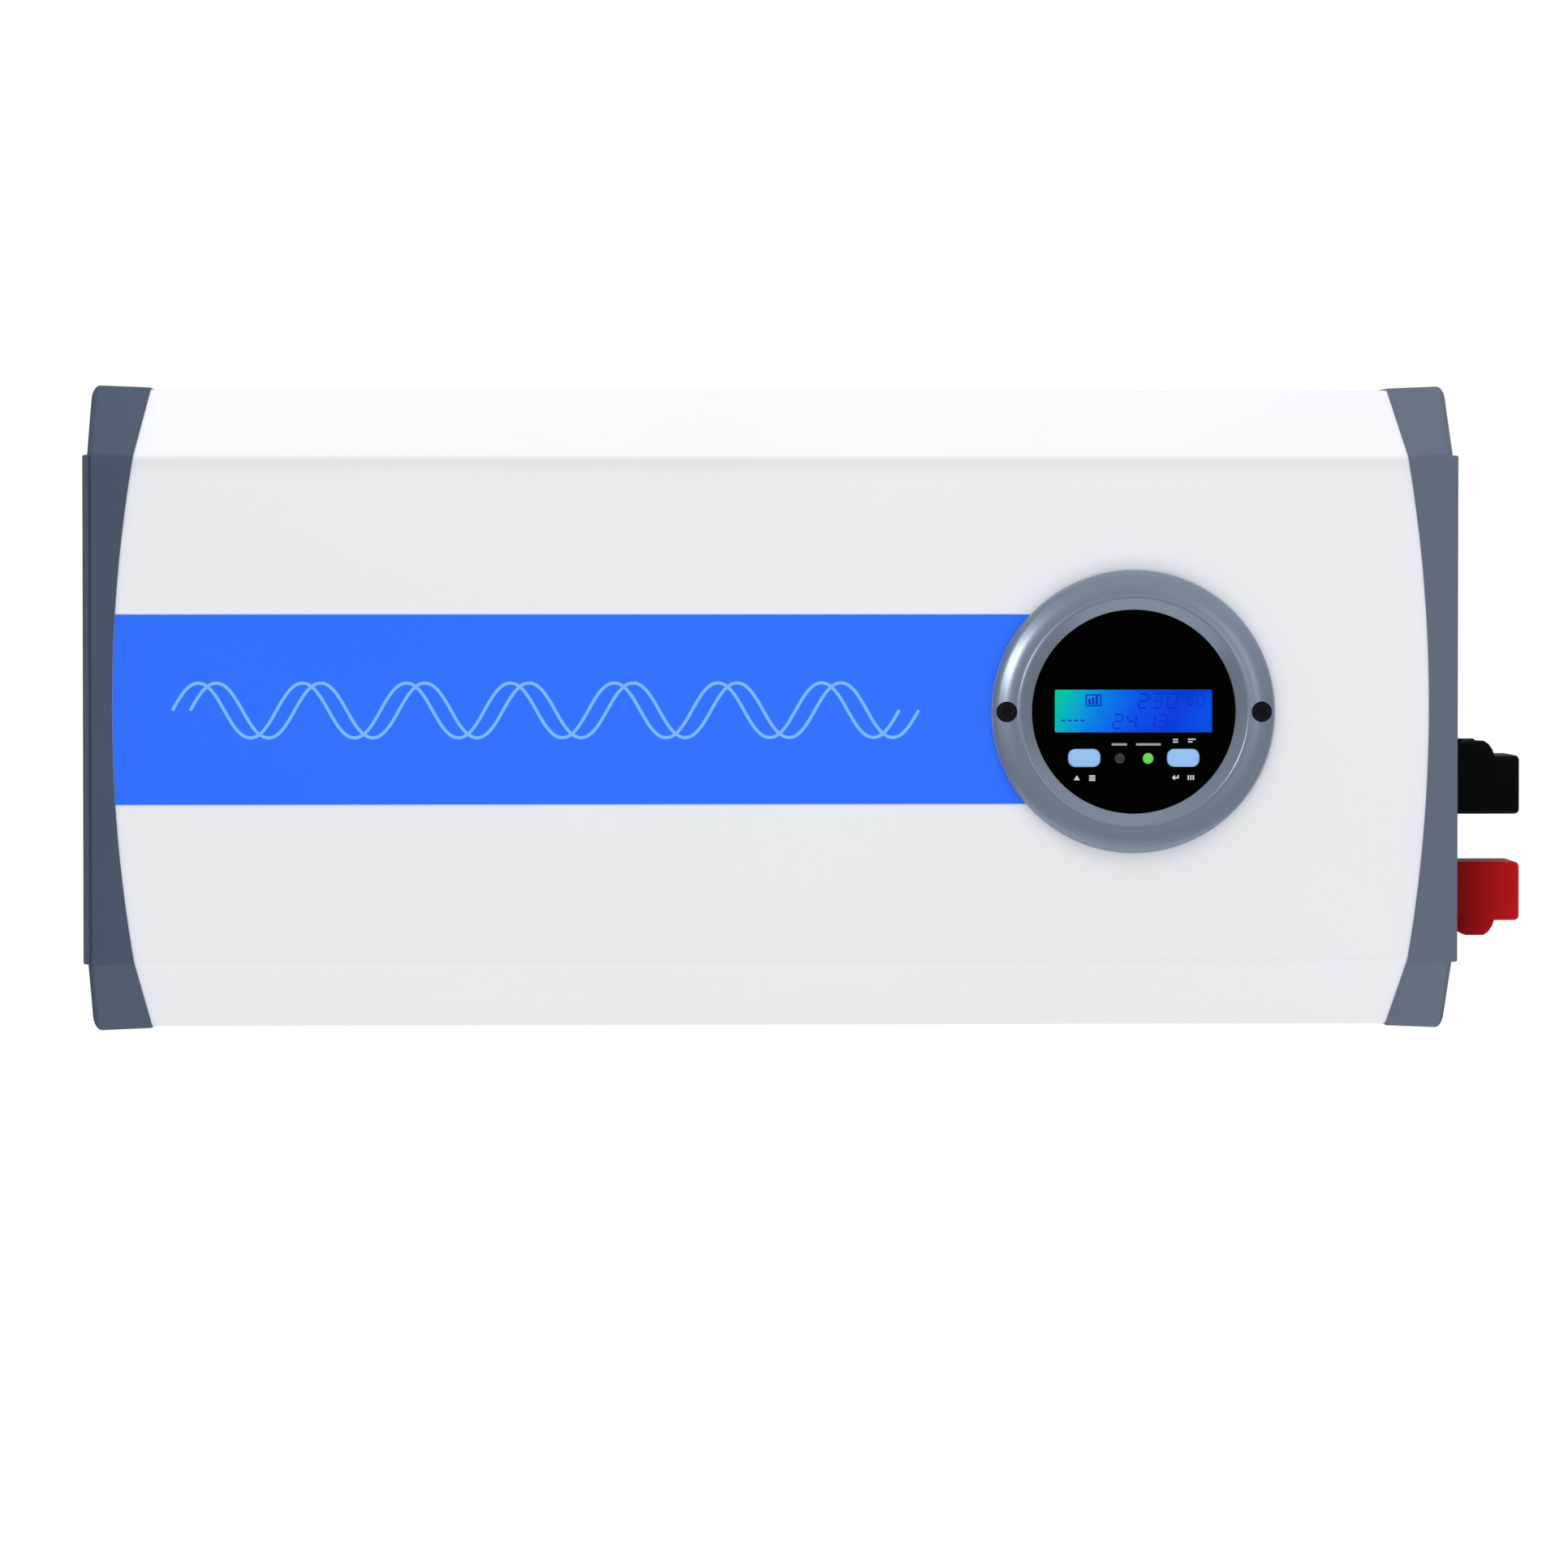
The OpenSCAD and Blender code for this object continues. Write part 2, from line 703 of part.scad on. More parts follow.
// A hood, open at its inner end and through a notch for the cable on the wall side
module terminal_cover(up)
    terminal(up) difference() {
        union() {
            difference() {
                across(-cover_half, cover_half) polygon(rounded([
                    [cover_start, cover_low], [cover_reach, cover_low], [cover_reach, cover_high],
                    [cover_start, cover_high]], [0, 1.8, 1.8, 0]));
                across(-cover_half + cover_wall, cover_half - cover_wall) polygon(rounded([
                    [0, cover_low + cover_wall], [cover_reach - cover_wall, cover_low + cover_wall],
                    [cover_reach - cover_wall, cover_high - cover_wall], [0, cover_high - cover_wall]],
                    [0, 0.7, 0.7, 0]));
            }
            for (side = [0, 1]) mirror([side, 0, 0]) {
                across(11.7, cover_half) translate([hinge_out, hinge_up]) circle(r = knuckle_radius);
                across(cover_half - cover_wall, cover_half) hood_cheek();
            }
        }
        across(-11.7, 11.7) translate([cover_start - 1, 6])
            square([hinge_out + knuckle_radius + 1.4 - cover_start, 12]);
        across(0, cover_half + 1) {
            translate([cover_start + notch_radius, 0]) circle(r = notch_radius);
            translate([cover_start - 1, -notch_radius]) square([notch_radius + 1, 2 * notch_radius]);
        }
        across(-cover_half - 1, cover_half + 1) translate([hinge_out, hinge_up]) circle(r = pin_bore);
    }

// The raised part of a hood's side wall, round the hinge pin
module hood_cheek()
    polygon([
        [cover_start, cover_high - 3], [cover_start, cover_high + 1],
        [hinge_out - 7.2, hinge_up + 4.2], [hinge_out - 5, hinge_up + knuckle_radius],
        [hinge_out + 3, hinge_up + knuckle_radius], [hinge_out + 8, cover_high - 0.5],
        [hinge_out + 8, cover_high - 3]]);

module hinge_pin(up) color("dimgray")
    terminal(up) across(-cover_half + 0.5, cover_half - 0.5)
        translate([hinge_out, hinge_up]) circle(r = pin_radius);

module negative_base() color("black") terminal_base(1);
module negative_stud() terminal_stud(1);
module negative_nuts() terminal_nuts(1);
module negative_cover() color("black") terminal_cover(1);
module negative_hinge_pin() hinge_pin(1);
module positive_base() color("darkred") terminal_base(-1);
module positive_stud() terminal_stud(-1);
module positive_nuts() terminal_nuts(-1);
module positive_cover() color("firebrick") terminal_cover(-1);
module positive_hinge_pin() hinge_pin(-1);

// Two copper angles that carry each stud's current down to the main board
module battery_busbars() color("peru")
    for (up = [1, -1]) terminal(up) difference() {
        union() {
            translate([-9, -8, -21.1]) cube([-stud_y + board_face + 9, 16, 3]);
            translate([-stud_y + board_face - 3, -8, -75]) cube([3, 16, 75 - 18.2]);
        }
        rod(stud_radius + 0.05, -30, 0);
    }

module earth_screw() color("gold")
    on_end(1, earth_place) cap_screw(4.6, 3, 2.5, 12);

// ---------- inside ----------

module main_board() color("darkgreen")
    difference() {
        translate([-board_size[0] / 2, board_face, -board_size[2] / 2]) cube(board_size);
        for (x = fixing_xs, z = fixing_zs) translate([x, board_face - 1, z])
            rotate([-90, 0, 0]) cylinder(r = 1.7, h = 4);
    }

// Pillars that stand on the heat sink, with the screws that hold the board to them
module board_fixings() color("goldenrod")
    for (x = fixing_xs, z = fixing_zs) translate([x, 0, z]) rotate([90, 0, 0]) {
        rod(3.2, -plate_top, -board_y);
        rod(1.5, -plate_top - 1, -board_face);
        rod(2.8, -board_face, -board_face + 2);
    }

module heat_bars() color("silver")
    for (z = [-106, 98]) translate([-165, -62, z]) cube([330, 62 + plate_top, 8]);

module power_transistors() color("black")
    for (x = transistor_xs, side = [0, 1]) mirror([0, 0, side]) translate([x, 0, 0]) {
        translate([-8, -60, 93]) cube([16, 21, 5]);
        for (leg = [-5.4, 0, 5.4]) translate([leg - 0.6, -39, 94]) cube([1.2, 39 + board_face, 0.8]);
    }

core_height = 52;
module transformer_places()
    for (x = transformer_xs) translate([x, board_face - core_height / 2, 0]) children();

module transformer_cores() color("dimgray")
    transformer_places() difference() {
        cube([54, core_height, 27], center = true);
        for (x = [-14, 14]) translate([x, 0, 0]) cube([12, 34, 30], center = true);
    }

module transformer_windings() color("orange")
    transformer_places() along_y(-16.5, 16.5) difference() {
        rounded_rectangle(39.2, 44, 6);
        square([16.4, 27.4], center = true);
    }

// Stands round parts on the main board, at [x, z]
module on_board(x, z)
    translate([x, board_face, z]) rotate([90, 0, 0]) children();

module capacitors() color("midnightblue") {
    for (i = [0:5]) on_board(145, -75 + 23 * i) rod(9, 0, 36);
    for (z = [25, 60]) on_board(-105, z) rod(15, 0, 45);
}

module filter_chokes() color("darkorange") {
    on_board(-105, -42) translate([0, 0, 10]) rotate_extrude()
        translate([16, 0]) square([14, 20], center = true);
    on_board(-158, -42) translate([0, 0, 7]) rotate_extrude()
        translate([11, 0]) square([8, 14], center = true);
}

// Relay, suppression capacitors and battery fuses
module board_components() color("khaki") {
    on_board(-155, 5) block(20, 30, 1, 0, 16);
    for (z = [40, 66]) on_board(-155, z) block(12, 22, 1, 0, 18);
    for (i = [0:5]) on_board(174, 2 + 13 * i) block(19, 5, 1, 0, 18);
}

module control_board() color("green") {
    translate([-45, board_face - 44, -84]) cube([150, 44, 1.6]);
    for (x = [-30, 5, 40, 75]) translate([x, board_face - 30, -82.4]) cube([14, 14, 1.6]);
}

// ---------- parts ----------

front_shell();
heat_sink_base();
shell_screws();
front_label();
end_cap(-1);  // left_end_cap
end_cap(1);  // right_end_cap
left_end_panel();
right_end_panel();
cap_screws(-1);  // left_cap_screws
cap_screws(1);  // right_cap_screws
display_bezel();
bezel_screws();
display_window();
display_gasket();
display_carrier();
display_board();
lcd_lens();
lcd_glass();
lcd_frame();
tact_switches();
push_button(button_xs[0]);  // select_button
push_button(button_xs[1]);  // enter_button
fault_lamp();
working_lamp();
ac_socket(upper_socket);  // ac_socket_upper
ac_socket(lower_socket);  // ac_socket_lower
socket_earth_clips();
rocker_switch_body();
power_rocker();
ac_terminal_block();
ac_terminal_screws();
data_port();
remote_port();
fan_frame();
fan_stator();
fan_rotor();
fan_guard();
fan_screws();
negative_base();
negative_stud();
negative_nuts();
negative_cover();
negative_hinge_pin();
positive_base();
positive_stud();
positive_nuts();
positive_cover();
positive_hinge_pin();
battery_busbars();
earth_screw();
main_board();
board_fixings();
heat_bars();
power_transistors();
transformer_cores();
transformer_windings();
capacitors();
filter_chokes();
board_components();
control_board();
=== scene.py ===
import json
import math

import bmesh
import bpy
from mathutils import Matrix, Vector

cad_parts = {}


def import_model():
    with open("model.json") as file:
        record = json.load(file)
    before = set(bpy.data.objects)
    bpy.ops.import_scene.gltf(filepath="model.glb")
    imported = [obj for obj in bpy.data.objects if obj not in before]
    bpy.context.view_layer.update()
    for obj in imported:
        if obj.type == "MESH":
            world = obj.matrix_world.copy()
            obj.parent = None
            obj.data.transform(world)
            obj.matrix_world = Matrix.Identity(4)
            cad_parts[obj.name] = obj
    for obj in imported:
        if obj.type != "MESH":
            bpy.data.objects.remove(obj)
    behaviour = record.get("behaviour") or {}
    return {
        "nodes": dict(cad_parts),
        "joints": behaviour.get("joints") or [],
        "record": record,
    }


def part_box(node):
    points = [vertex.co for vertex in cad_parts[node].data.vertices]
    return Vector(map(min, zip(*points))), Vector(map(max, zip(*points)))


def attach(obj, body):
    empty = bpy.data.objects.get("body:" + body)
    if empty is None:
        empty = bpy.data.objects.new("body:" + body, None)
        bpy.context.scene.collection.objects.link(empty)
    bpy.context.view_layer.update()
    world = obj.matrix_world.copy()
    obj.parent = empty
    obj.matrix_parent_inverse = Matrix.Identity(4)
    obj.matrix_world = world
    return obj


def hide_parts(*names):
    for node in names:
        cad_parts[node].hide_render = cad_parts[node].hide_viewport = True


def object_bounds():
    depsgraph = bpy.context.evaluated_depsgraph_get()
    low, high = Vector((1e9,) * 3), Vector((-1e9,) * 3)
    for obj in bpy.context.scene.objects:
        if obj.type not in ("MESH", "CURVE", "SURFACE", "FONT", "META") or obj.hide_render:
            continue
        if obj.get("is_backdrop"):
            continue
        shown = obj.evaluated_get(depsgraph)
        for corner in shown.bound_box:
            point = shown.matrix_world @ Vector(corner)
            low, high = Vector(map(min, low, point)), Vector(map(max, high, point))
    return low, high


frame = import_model()
bounds_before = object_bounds()
cad = frame["nodes"]
record = frame["record"]
slots = {part["node"]: part["material_slot"] for part in record["subparts"]}
scene = bpy.context.scene
scene.view_settings.view_transform = "Standard"
MM = 0.001

# ---------- places taken from the CAD frame (metres) ----------

shell_low, shell_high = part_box("front_shell")
bezel_low, bezel_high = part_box("display_bezel")
cap_low, cap_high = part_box("right_end_cap")
FRONT = shell_low.y
SIDE = shell_high.z
DISPLAY_X = (bezel_low.x + bezel_high.x) / 2
DISPLAY_Z = (bezel_low.z + bezel_high.z) / 2
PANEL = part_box("right_end_panel")[1].x
CAP_END = cap_high.x
CAP_LIP = cap_low.x


def centre(node):
    low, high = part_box(node)
    return (low + high) / 2


def face_frame(x=DISPLAY_X, z=DISPLAY_Z):
    """Local X right, Y up, Z out of the front, in millimetres."""
    turn = Matrix(((1, 0, 0, x), (0, 0, -1, FRONT), (0, 1, 0, z), (0, 0, 0, 1)))
    return turn @ Matrix.Scale(MM, 4)


def end_frame(side, y, z):
    """Local X towards the wall, Y up, Z out of an end panel, in millimetres."""
    turn = Matrix(((0, 0, side, side * PANEL), (1, 0, 0, y), (0, 1, 0, z), (0, 0, 0, 1)))
    return turn @ Matrix.Scale(MM, 4)


# ---------- materials ----------

GRAIN_DETAIL = 3
BLOTCH_DETAIL = 2
BLOTCH_SPAN = (0.3, 0.7)
COAT_ROUGH = 0.08
RELIEF_DEPTH = 0.0002


def linear(value):
    value /= 255
    return value / 12.92 if value <= 0.04045 else ((value + 0.055) / 1.055) ** 2.4


def rgb(red, green, blue):
    return (linear(red), linear(green), linear(blue), 1)


def scaled(colour, factor):
    return tuple(min(1, c * factor) for c in colour[:3]) + (1,)


def noise(tree, scale, detail):
    node = tree.nodes.new("ShaderNodeTexNoise")
    node.inputs["Scale"].default_value = scale
    node.inputs["Detail"].default_value = detail
    return node


def map_range(tree, source, to_low, to_high, low=0.0, high=1.0):
    node = tree.nodes.new("ShaderNodeMapRange")
    node.inputs["From Min"].default_value = low
    node.inputs["From Max"].default_value = high
    node.inputs["To Min"].default_value = to_low
    node.inputs["To Max"].default_value = to_high
    tree.links.new(source, node.inputs["Value"])
    return node.outputs["Result"]


def colour_mix(tree, blend="MIX"):
    node = tree.nodes.new("ShaderNodeMix")
    node.data_type = "RGBA"
    node.blend_type = blend
    if blend == "MULTIPLY":
        node.inputs["Factor"].default_value = 1
    return node


def colour_ramp(tree, source, stops):
    node = tree.nodes.new("ShaderNodeValToRGB")
    while len(node.color_ramp.elements) < len(stops):
        node.color_ramp.elements.new(0.5)
    for element, (position, colour) in zip(node.color_ramp.elements, stops):
        element.position = position
        element.color = colour
    tree.links.new(source, node.inputs["Fac"])
    return node.outputs["Color"]


def material(name, colour, rough, metal=0.0, grain=900, stretch=(1, 1, 1), shade=0.06, rough_span=0.08,
             bump=0.05, blotch=14, blotch_shade=0.03, coat=0.0, specular=0.5, glow=None, strength=0.0,
             clear=0.0):
    """A procedural finish: fine grain in colour, roughness and bump, and broad soft blotches."""
    mat = bpy.data.materials.new(name)
    mat.use_nodes = True
    tree = mat.node_tree
    link = tree.links.new
    shader = tree.nodes["Principled BSDF"]
    shader.inputs["Metallic"].default_value = metal
    shader.inputs["Coat Weight"].default_value = coat
    shader.inputs["Coat Roughness"].default_value = COAT_ROUGH
    shader.inputs["Specular IOR Level"].default_value = specular
    shader.inputs["Alpha"].default_value = 1 - clear
    if glow:
        shader.inputs["Emission Color"].default_value = glow
        shader.inputs["Emission Strength"].default_value = strength
    place = tree.nodes.new("ShaderNodeTexCoord")
    mapping = tree.nodes.new("ShaderNodeMapping")
    mapping.inputs["Scale"].default_value = stretch
    link(place.outputs["Object"], mapping.inputs["Vector"])
    fine = noise(tree, grain, GRAIN_DETAIL)
    link(mapping.outputs["Vector"], fine.inputs["Vector"])
    broad = noise(tree, blotch, BLOTCH_DETAIL)
    link(place.outputs["Object"], broad.inputs["Vector"])
    grain_mix = colour_mix(tree)
    grain_mix.inputs["A"].default_value = scaled(colour, 1 - shade)
    grain_mix.inputs["B"].default_value = scaled(colour, 1 + shade)
    link(fine.outputs["Fac"], grain_mix.inputs["Factor"])
    blotch_mix = colour_mix(tree, "MULTIPLY")
    link(grain_mix.outputs["Result"], blotch_mix.inputs["A"])
    link(map_range(tree, broad.outputs["Fac"], 1 - blotch_shade, 1, *BLOTCH_SPAN), blotch_mix.inputs["B"])
    link(blotch_mix.outputs["Result"], shader.inputs["Base Color"])
    rough_low, rough_high = max(0.02, rough - rough_span), min(1, rough + rough_span)
    link(map_range(tree, fine.outputs["Fac"], rough_low, rough_high), shader.inputs["Roughness"])
    relief = tree.nodes.new("ShaderNodeBump")
    relief.inputs["Strength"].default_value = bump
    relief.inputs["Distance"].default_value = RELIEF_DEPTH
    link(fine.outputs["Fac"], relief.inputs["Height"])
    link(relief.outputs["Normal"], shader.inputs["Normal"])
    return mat


def add_ramp(mat, socket, stops, low, high, axis, lean=0.0, level=0.0):
    """Drives or tints a colour socket with a gradient along an object axis between two coordinates.
    lean slants it with the height above level."""
    tree = mat.node_tree
    new, link = tree.nodes.new, tree.links.new
    place = new("ShaderNodeTexCoord")
    split = new("ShaderNodeSeparateXYZ")
    link(place.outputs["Object"], split.inputs["Vector"])
    slant = new("ShaderNodeMath")
    slant.operation = "MULTIPLY_ADD"
    slant.inputs[1].default_value = lean
    link(split.outputs["Z"], slant.inputs[0])
    link(split.outputs[axis], slant.inputs[2])
    shift = new("ShaderNodeMath")
    shift.operation = "SUBTRACT"
    shift.inputs[1].default_value = lean * level
    link(slant.outputs["Value"], shift.inputs[0])
    ramp = colour_ramp(tree, map_range(tree, shift.outputs["Value"], 0, 1, low, high), stops)
    target = tree.nodes["Principled BSDF"].inputs[socket]
    if target.is_linked:
        tint = colour_mix(tree, "MULTIPLY")
        link(target.links[0].from_socket, tint.inputs["A"])
        link(ramp, tint.inputs["B"])
        link(tint.outputs["Result"], target)
    else:
        link(ramp, target)


M = {}


def finish(name, colour, rough, **look):
    M[name] = material(name, colour, rough, **look)


finish("white_paint", (0.74, 0.76, 0.795), 0.42, grain=1500, shade=0.012, blotch=5.5, specular=0.15)
finish("bare_aluminium", (0.76, 0.77, 0.79), 0.38, metal=0.5, grain=700, stretch=(0.02, 1, 1), shade=0.12,
       rough_span=0.12, bump=0.12)
finish("slate_plastic", (1, 1, 1), 0.46, grain=1600, shade=0.08, bump=0.16, blotch_shade=0.05, specular=0.2)
finish("dark_panel", (0.045, 0.049, 0.055), 0.5, grain=1800, shade=0.25, bump=0.22)
finish("black_screws", (0.012, 0.012, 0.014), 0.34, metal=0.5, grain=1500, shade=0.3, bump=0.08)
finish("zinc_steel", (0.66, 0.67, 0.66), 0.28, metal=1.0, grain=800, shade=0.10, rough_span=0.1, bump=0.06)
finish("blue_label", rgb(42, 108, 247), 0.42, grain=1400, shade=0.02, bump=0.03, blotch=5, blotch_shade=0.06,
       specular=0.2)
finish("bezel_grey", rgb(126, 138, 155), 0.29, metal=0.4, grain=1800, shade=0.03, rough_span=0.03,
       bump=0.006, blotch_shade=0.02)
finish("window_black", (0.0004, 0.0004, 0.0006), 0.2, grain=40, shade=0.2, rough_span=0.03, bump=0.002,
       specular=0.03)
finish("clear_lens", (0.01, 0.015, 0.02), 0.3, grain=60, shade=0.01, rough_span=0.02, bump=0.002, clear=0.94,
       specular=0.1)
finish("lcd_blue", (0.0, 0.01, 0.03), 0.5, shade=0.1, bump=0.01, glow=(0, 0.3, 1, 1), strength=0.92,
       specular=0.1)
# The buttons carry a faint painted glow, an emission that stands in for light falling on them.
finish("button_blue", rgb(144, 184, 228), 0.45, grain=1400, shade=0.03, glow=rgb(120, 170, 250),
       strength=0.03, specular=0.3)
finish("lamp_dark", (0.03, 0.03, 0.032), 0.22, grain=600, shade=0.1, bump=0.01)
finish("lamp_green", (0.05, 0.4, 0.04), 0.22, grain=600, shade=0.05, bump=0.01, glow=rgb(112, 190, 88),
       strength=0.5)
finish("black_rubber", (0.02, 0.02, 0.02), 0.8, grain=1200, shade=0.2, bump=0.2)
finish("black_plastic", (0.014, 0.014, 0.016), 0.42, grain=1500, shade=0.25, bump=0.14)
finish("dark_grey_plastic", (0.03, 0.032, 0.036), 0.4, grain=1300, shade=0.2, bump=0.1)
finish("black_cover_plastic", (0.0022, 0.003, 0.0046), 0.34, grain=1400, shade=0.3, bump=0.08, blotch=60,
       blotch_shade=0.1, specular=0.07)
finish("red_plastic", (1, 1, 1), 0.34, grain=1400, shade=0.08, bump=0.08, blotch=60, blotch_shade=0.06,
       specular=0.07)
finish("rocker_red", (0.48, 0.012, 0.012), 0.2, bump=0.03, coat=0.3)
finish("green_plastic", (0.01, 0.16, 0.06), 0.42, grain=1300, shade=0.08, bump=0.08)
finish("circuit_board", (0.01, 0.09, 0.035), 0.3, grain=160, shade=0.45, bump=0.06)
finish("brass_metal", (0.78, 0.56, 0.24), 0.24, metal=1.0, shade=0.08)
finish("copper", (0.86, 0.43, 0.24), 0.3, metal=1.0, stretch=(1, 0.05, 1), shade=0.1, bump=0.1)
finish("ferrite", (0.035, 0.035, 0.038), 0.6, grain=1200, shade=0.25, bump=0.25)
finish("capacitor_sleeve", (0.012, 0.02, 0.09), 0.28, grain=500, shade=0.12, bump=0.02)
finish("component_plastic", (0.5, 0.36, 0.1), 0.42, shade=0.08)
finish("print_grey", rgb(150, 152, 150), 0.5, grain=1500, shade=0.08, bump=0.03)
finish("print_white", rgb(200, 202, 204), 0.5, grain=1500, shade=0.05, bump=0.03)
finish("wave_ink", rgb(118, 178, 248), 0.42, grain=1500, shade=0.03, bump=0.02)
finish("lcd_ink", (0.0, 0.01, 0.05), 0.5, grain=1500, shade=0.1, bump=0.01, glow=rgb(0, 44, 206),
       strength=0.9, specular=0.1)
finish("floor_white", (0.8, 0.8, 0.8), 0.7, grain=80, shade=0.01, bump=0.01, blotch_shade=0.01)

# The lit glass runs from green at its left to blue, slanted.
lcd = centre("lcd_glass")
LCD_HALF = 0.0282
LCD_COLOURS = [(0.0, rgb(0, 212, 176)), (0.11, rgb(0, 184, 218)), (0.27, rgb(0, 134, 250)),
               (0.52, rgb(0, 84, 250)), (0.78, rgb(0, 58, 236)), (1.0, rgb(0, 84, 248))]
add_ramp(M["lcd_blue"], "Emission Color", LCD_COLOURS, lcd.x - LCD_HALF, lcd.x + LCD_HALF, "X",
         lean=-0.5, level=lcd.z)

# Painted light and shade: the caps' colour gets lighter from left to right, standing in for how the light
# falls on them.
CAP_PAINTED_SHADING = [(0.0, rgb(70, 83, 101)), (1.0, rgb(94, 104, 120))]
add_ramp(M["slate_plastic"], "Base Color", CAP_PAINTED_SHADING, -CAP_END, CAP_END, "X")

# Painted shade: the white face darkens a little towards its upper fold.
FOLD_START, FOLD_END = 0.082, 0.0908
FOLD_LEVELS = ((0, 1), (0.3, 0.985), (0.58, 0.93), (0.8, 0.93), (0.92, 0.97), (1, 1))
painted_fold_shade = [(position, (level, level, level, 1)) for position, level in FOLD_LEVELS]
add_ramp(M["white_paint"], "Base Color", painted_fold_shade, FOLD_START, FOLD_END, "Z")

# The red hood and its base take their red from this ramp, with painted shade: darker near the cap, lighter
# away from it.
HOOD_REACH = 0.027
RED_WITH_PAINTED_SHADE = [(0.0, rgb(110, 3, 6)), (1.0, rgb(190, 16, 24))]
add_ramp(M["red_plastic"], "Base Color", RED_WITH_PAINTED_SHADE, CAP_END, CAP_END + HOOD_REACH, "X")

# ---------- mesh building ----------


def join(*parts):
    verts, faces = [], []
    for part_verts, part_faces in parts:
        start = len(verts)
        verts += [Vector(v) for v in part_verts]
        faces += [[i + start for i in face] for face in part_faces]
    return verts, faces


def moved(part, matrix):
    return [matrix @ Vector(v) for v in part[0]], part[1]


def quads(count, first, second):
    """The faces between two rings of count points, which start at the indices first and second."""
    return [[first + k, first + (k + 1) % count, second + (k + 1) % count, second + k] for k in range(count)]


def loft(rings, closed=True):
    """Skins rings of equal length, each a list of 3-D points, and closes both ends."""
    count = len(rings[0])
    verts = [Vector(p) for ring in rings for p in ring]
    faces = []
    for r in range(len(rings) - 1):
        faces += quads(count, r * count, (r + 1) * count)
    if closed:
        faces += [list(range(count))[::-1], list(range((len(rings) - 1) * count, len(rings) * count))]
    return verts, faces


def inset_outline(outline, inset):
    if not inset:
        return outline
    result = []
    for i, point in enumerate(outline):
        before, after = outline[i - 1], outline[(i + 1) % len(outline)]
        along = Vector((after[0] - before[0], after[1] - before[1])).normalized()
        result.append((point[0] - along.y * inset, point[1] + along.x * inset))
    return result


def layers(outline, steps):
    """Stacks copies of a closed outline: steps are (height, inset)."""
    return loft([[(x, y, h) for x, y in inset_outline(outline, inset)] for h, inset in steps])


def across(outline, steps, sign):
    """Skins (out, up) outlines across a terminal; steps are (distance from the stud, inset)."""
    return loft([[(a, b * sign, u) for u, b in inset_outline(outline, inset)] for a, inset in steps])


def prism(outline, low, high):
    return layers(outline, [(low, 0), (high, 0)])


def rounded_rect(width, height, radius, steps=6):
    points = []
    for corner, (sx, sy) in enumerate(((1, -1), (1, 1), (-1, 1), (-1, -1))):
        for step in range(steps + 1):
            turn = math.radians(-90 + 90 * corner + 90 * step / steps)
            points.append((sx * (width / 2 - radius) + radius * math.cos(turn),
                           sy * (height / 2 - radius) + radius * math.sin(turn)))
    return points


def round_outline(u, b, radius, count=48):
    turns = [2 * math.pi * k / count for k in range(count)]
    return [(u + radius * math.cos(turn), b + radius * math.sin(turn)) for turn in turns]


def slab(width, height, radius, low, high, x=0.0, y=0.0, edge=0.0):
    """A plate with rounded corners between two heights, with a soft upper edge if asked."""
    outline = [(a + x, b + y) for a, b in rounded_rect(width, height, radius)]
    if not edge:
        return prism(outline, low, high)
    return layers(outline, [(low, 0), (high - edge, 0), (high - 0.3 * edge, 0.3 * edge), (high, edge)])


def lathe(profile, segments=96, closed=True):
    """Turns a (radius, height) outline round the Z axis."""
    verts, faces = [], []
    count = len(profile)
    for radius, height in profile:
        for k in range(segments):
            turn = 2 * math.pi * k / segments
            verts.append(Vector((radius * math.cos(turn), radius * math.sin(turn), height)))
    for j in range(count if closed else count - 1):
        faces += quads(segments, j * segments, (j + 1) % count * segments)
    return verts, faces


def wire(points, radius, sides=12, loop=False):
    """A round wire along 3-D points."""
    rings = []
    count = len(points)
    up = Vector((0, 0, 1))
    for i, point in enumerate(points):
        before = points[i - 1] if loop or i else points[i]
        after = points[(i + 1) % count] if loop or i < count - 1 else points[i]
        along = (Vector(after) - Vector(before)).normalized()
        side = along.cross(up)
        side = side.normalized() if side.length > 1e-6 else Vector((1, 0, 0))
        other = side.cross(along)
        rings.append([Vector(point) + radius * (math.cos(a) * side + math.sin(a) * other)
                      for a in (2 * math.pi * s / sides for s in range(sides))])
    if loop:
        rings.append(rings[0])
    return loft(rings, closed=not loop)


def ribbon(path, width, low, high):
    """A flat band of even width along a 2-D path, between two heights."""
    rings = []
    for i, point in enumerate(path):
        before, after = path[max(0, i - 1)], path[min(len(path) - 1, i + 1)]
        along = Vector((after[0] - before[0], after[1] - before[1])).normalized()
        side = Vector((-along.y, along.x)) * width / 2
        left, right = Vector(point) + side, Vector(point) - side
        rings.append([(left.x, left.y, low), (right.x, right.y, low), (right.x, right.y, high),
                      (left.x, left.y, high)])
    return loft(rings)


def clean(mesh):
    bm = bmesh.new()
    bm.from_mesh(mesh)
    bmesh.ops.remove_doubles(bm, verts=bm.verts, dist=1e-7)
    bmesh.ops.dissolve_degenerate(bm, edges=bm.edges, dist=1e-8)
    bmesh.ops.recalc_face_normals(bm, faces=bm.faces)
    bm.to_mesh(mesh)
    bm.free()


def new_object(name, part, place):
    """An object in the scene made from a part; place takes its points to metres."""
    mesh = bpy.data.meshes.new(name)
    mesh.from_pydata([tuple(place @ Vector(v)) for v in part[0]], [], [list(f) for f in part[1]])
    clean(mesh)
    obj = bpy.data.objects.new(name, mesh)
    scene.collection.objects.link(obj)
    return obj


def cut(part):
    return "DIFFERENCE", part


def fuse(part):
    return "UNION", part


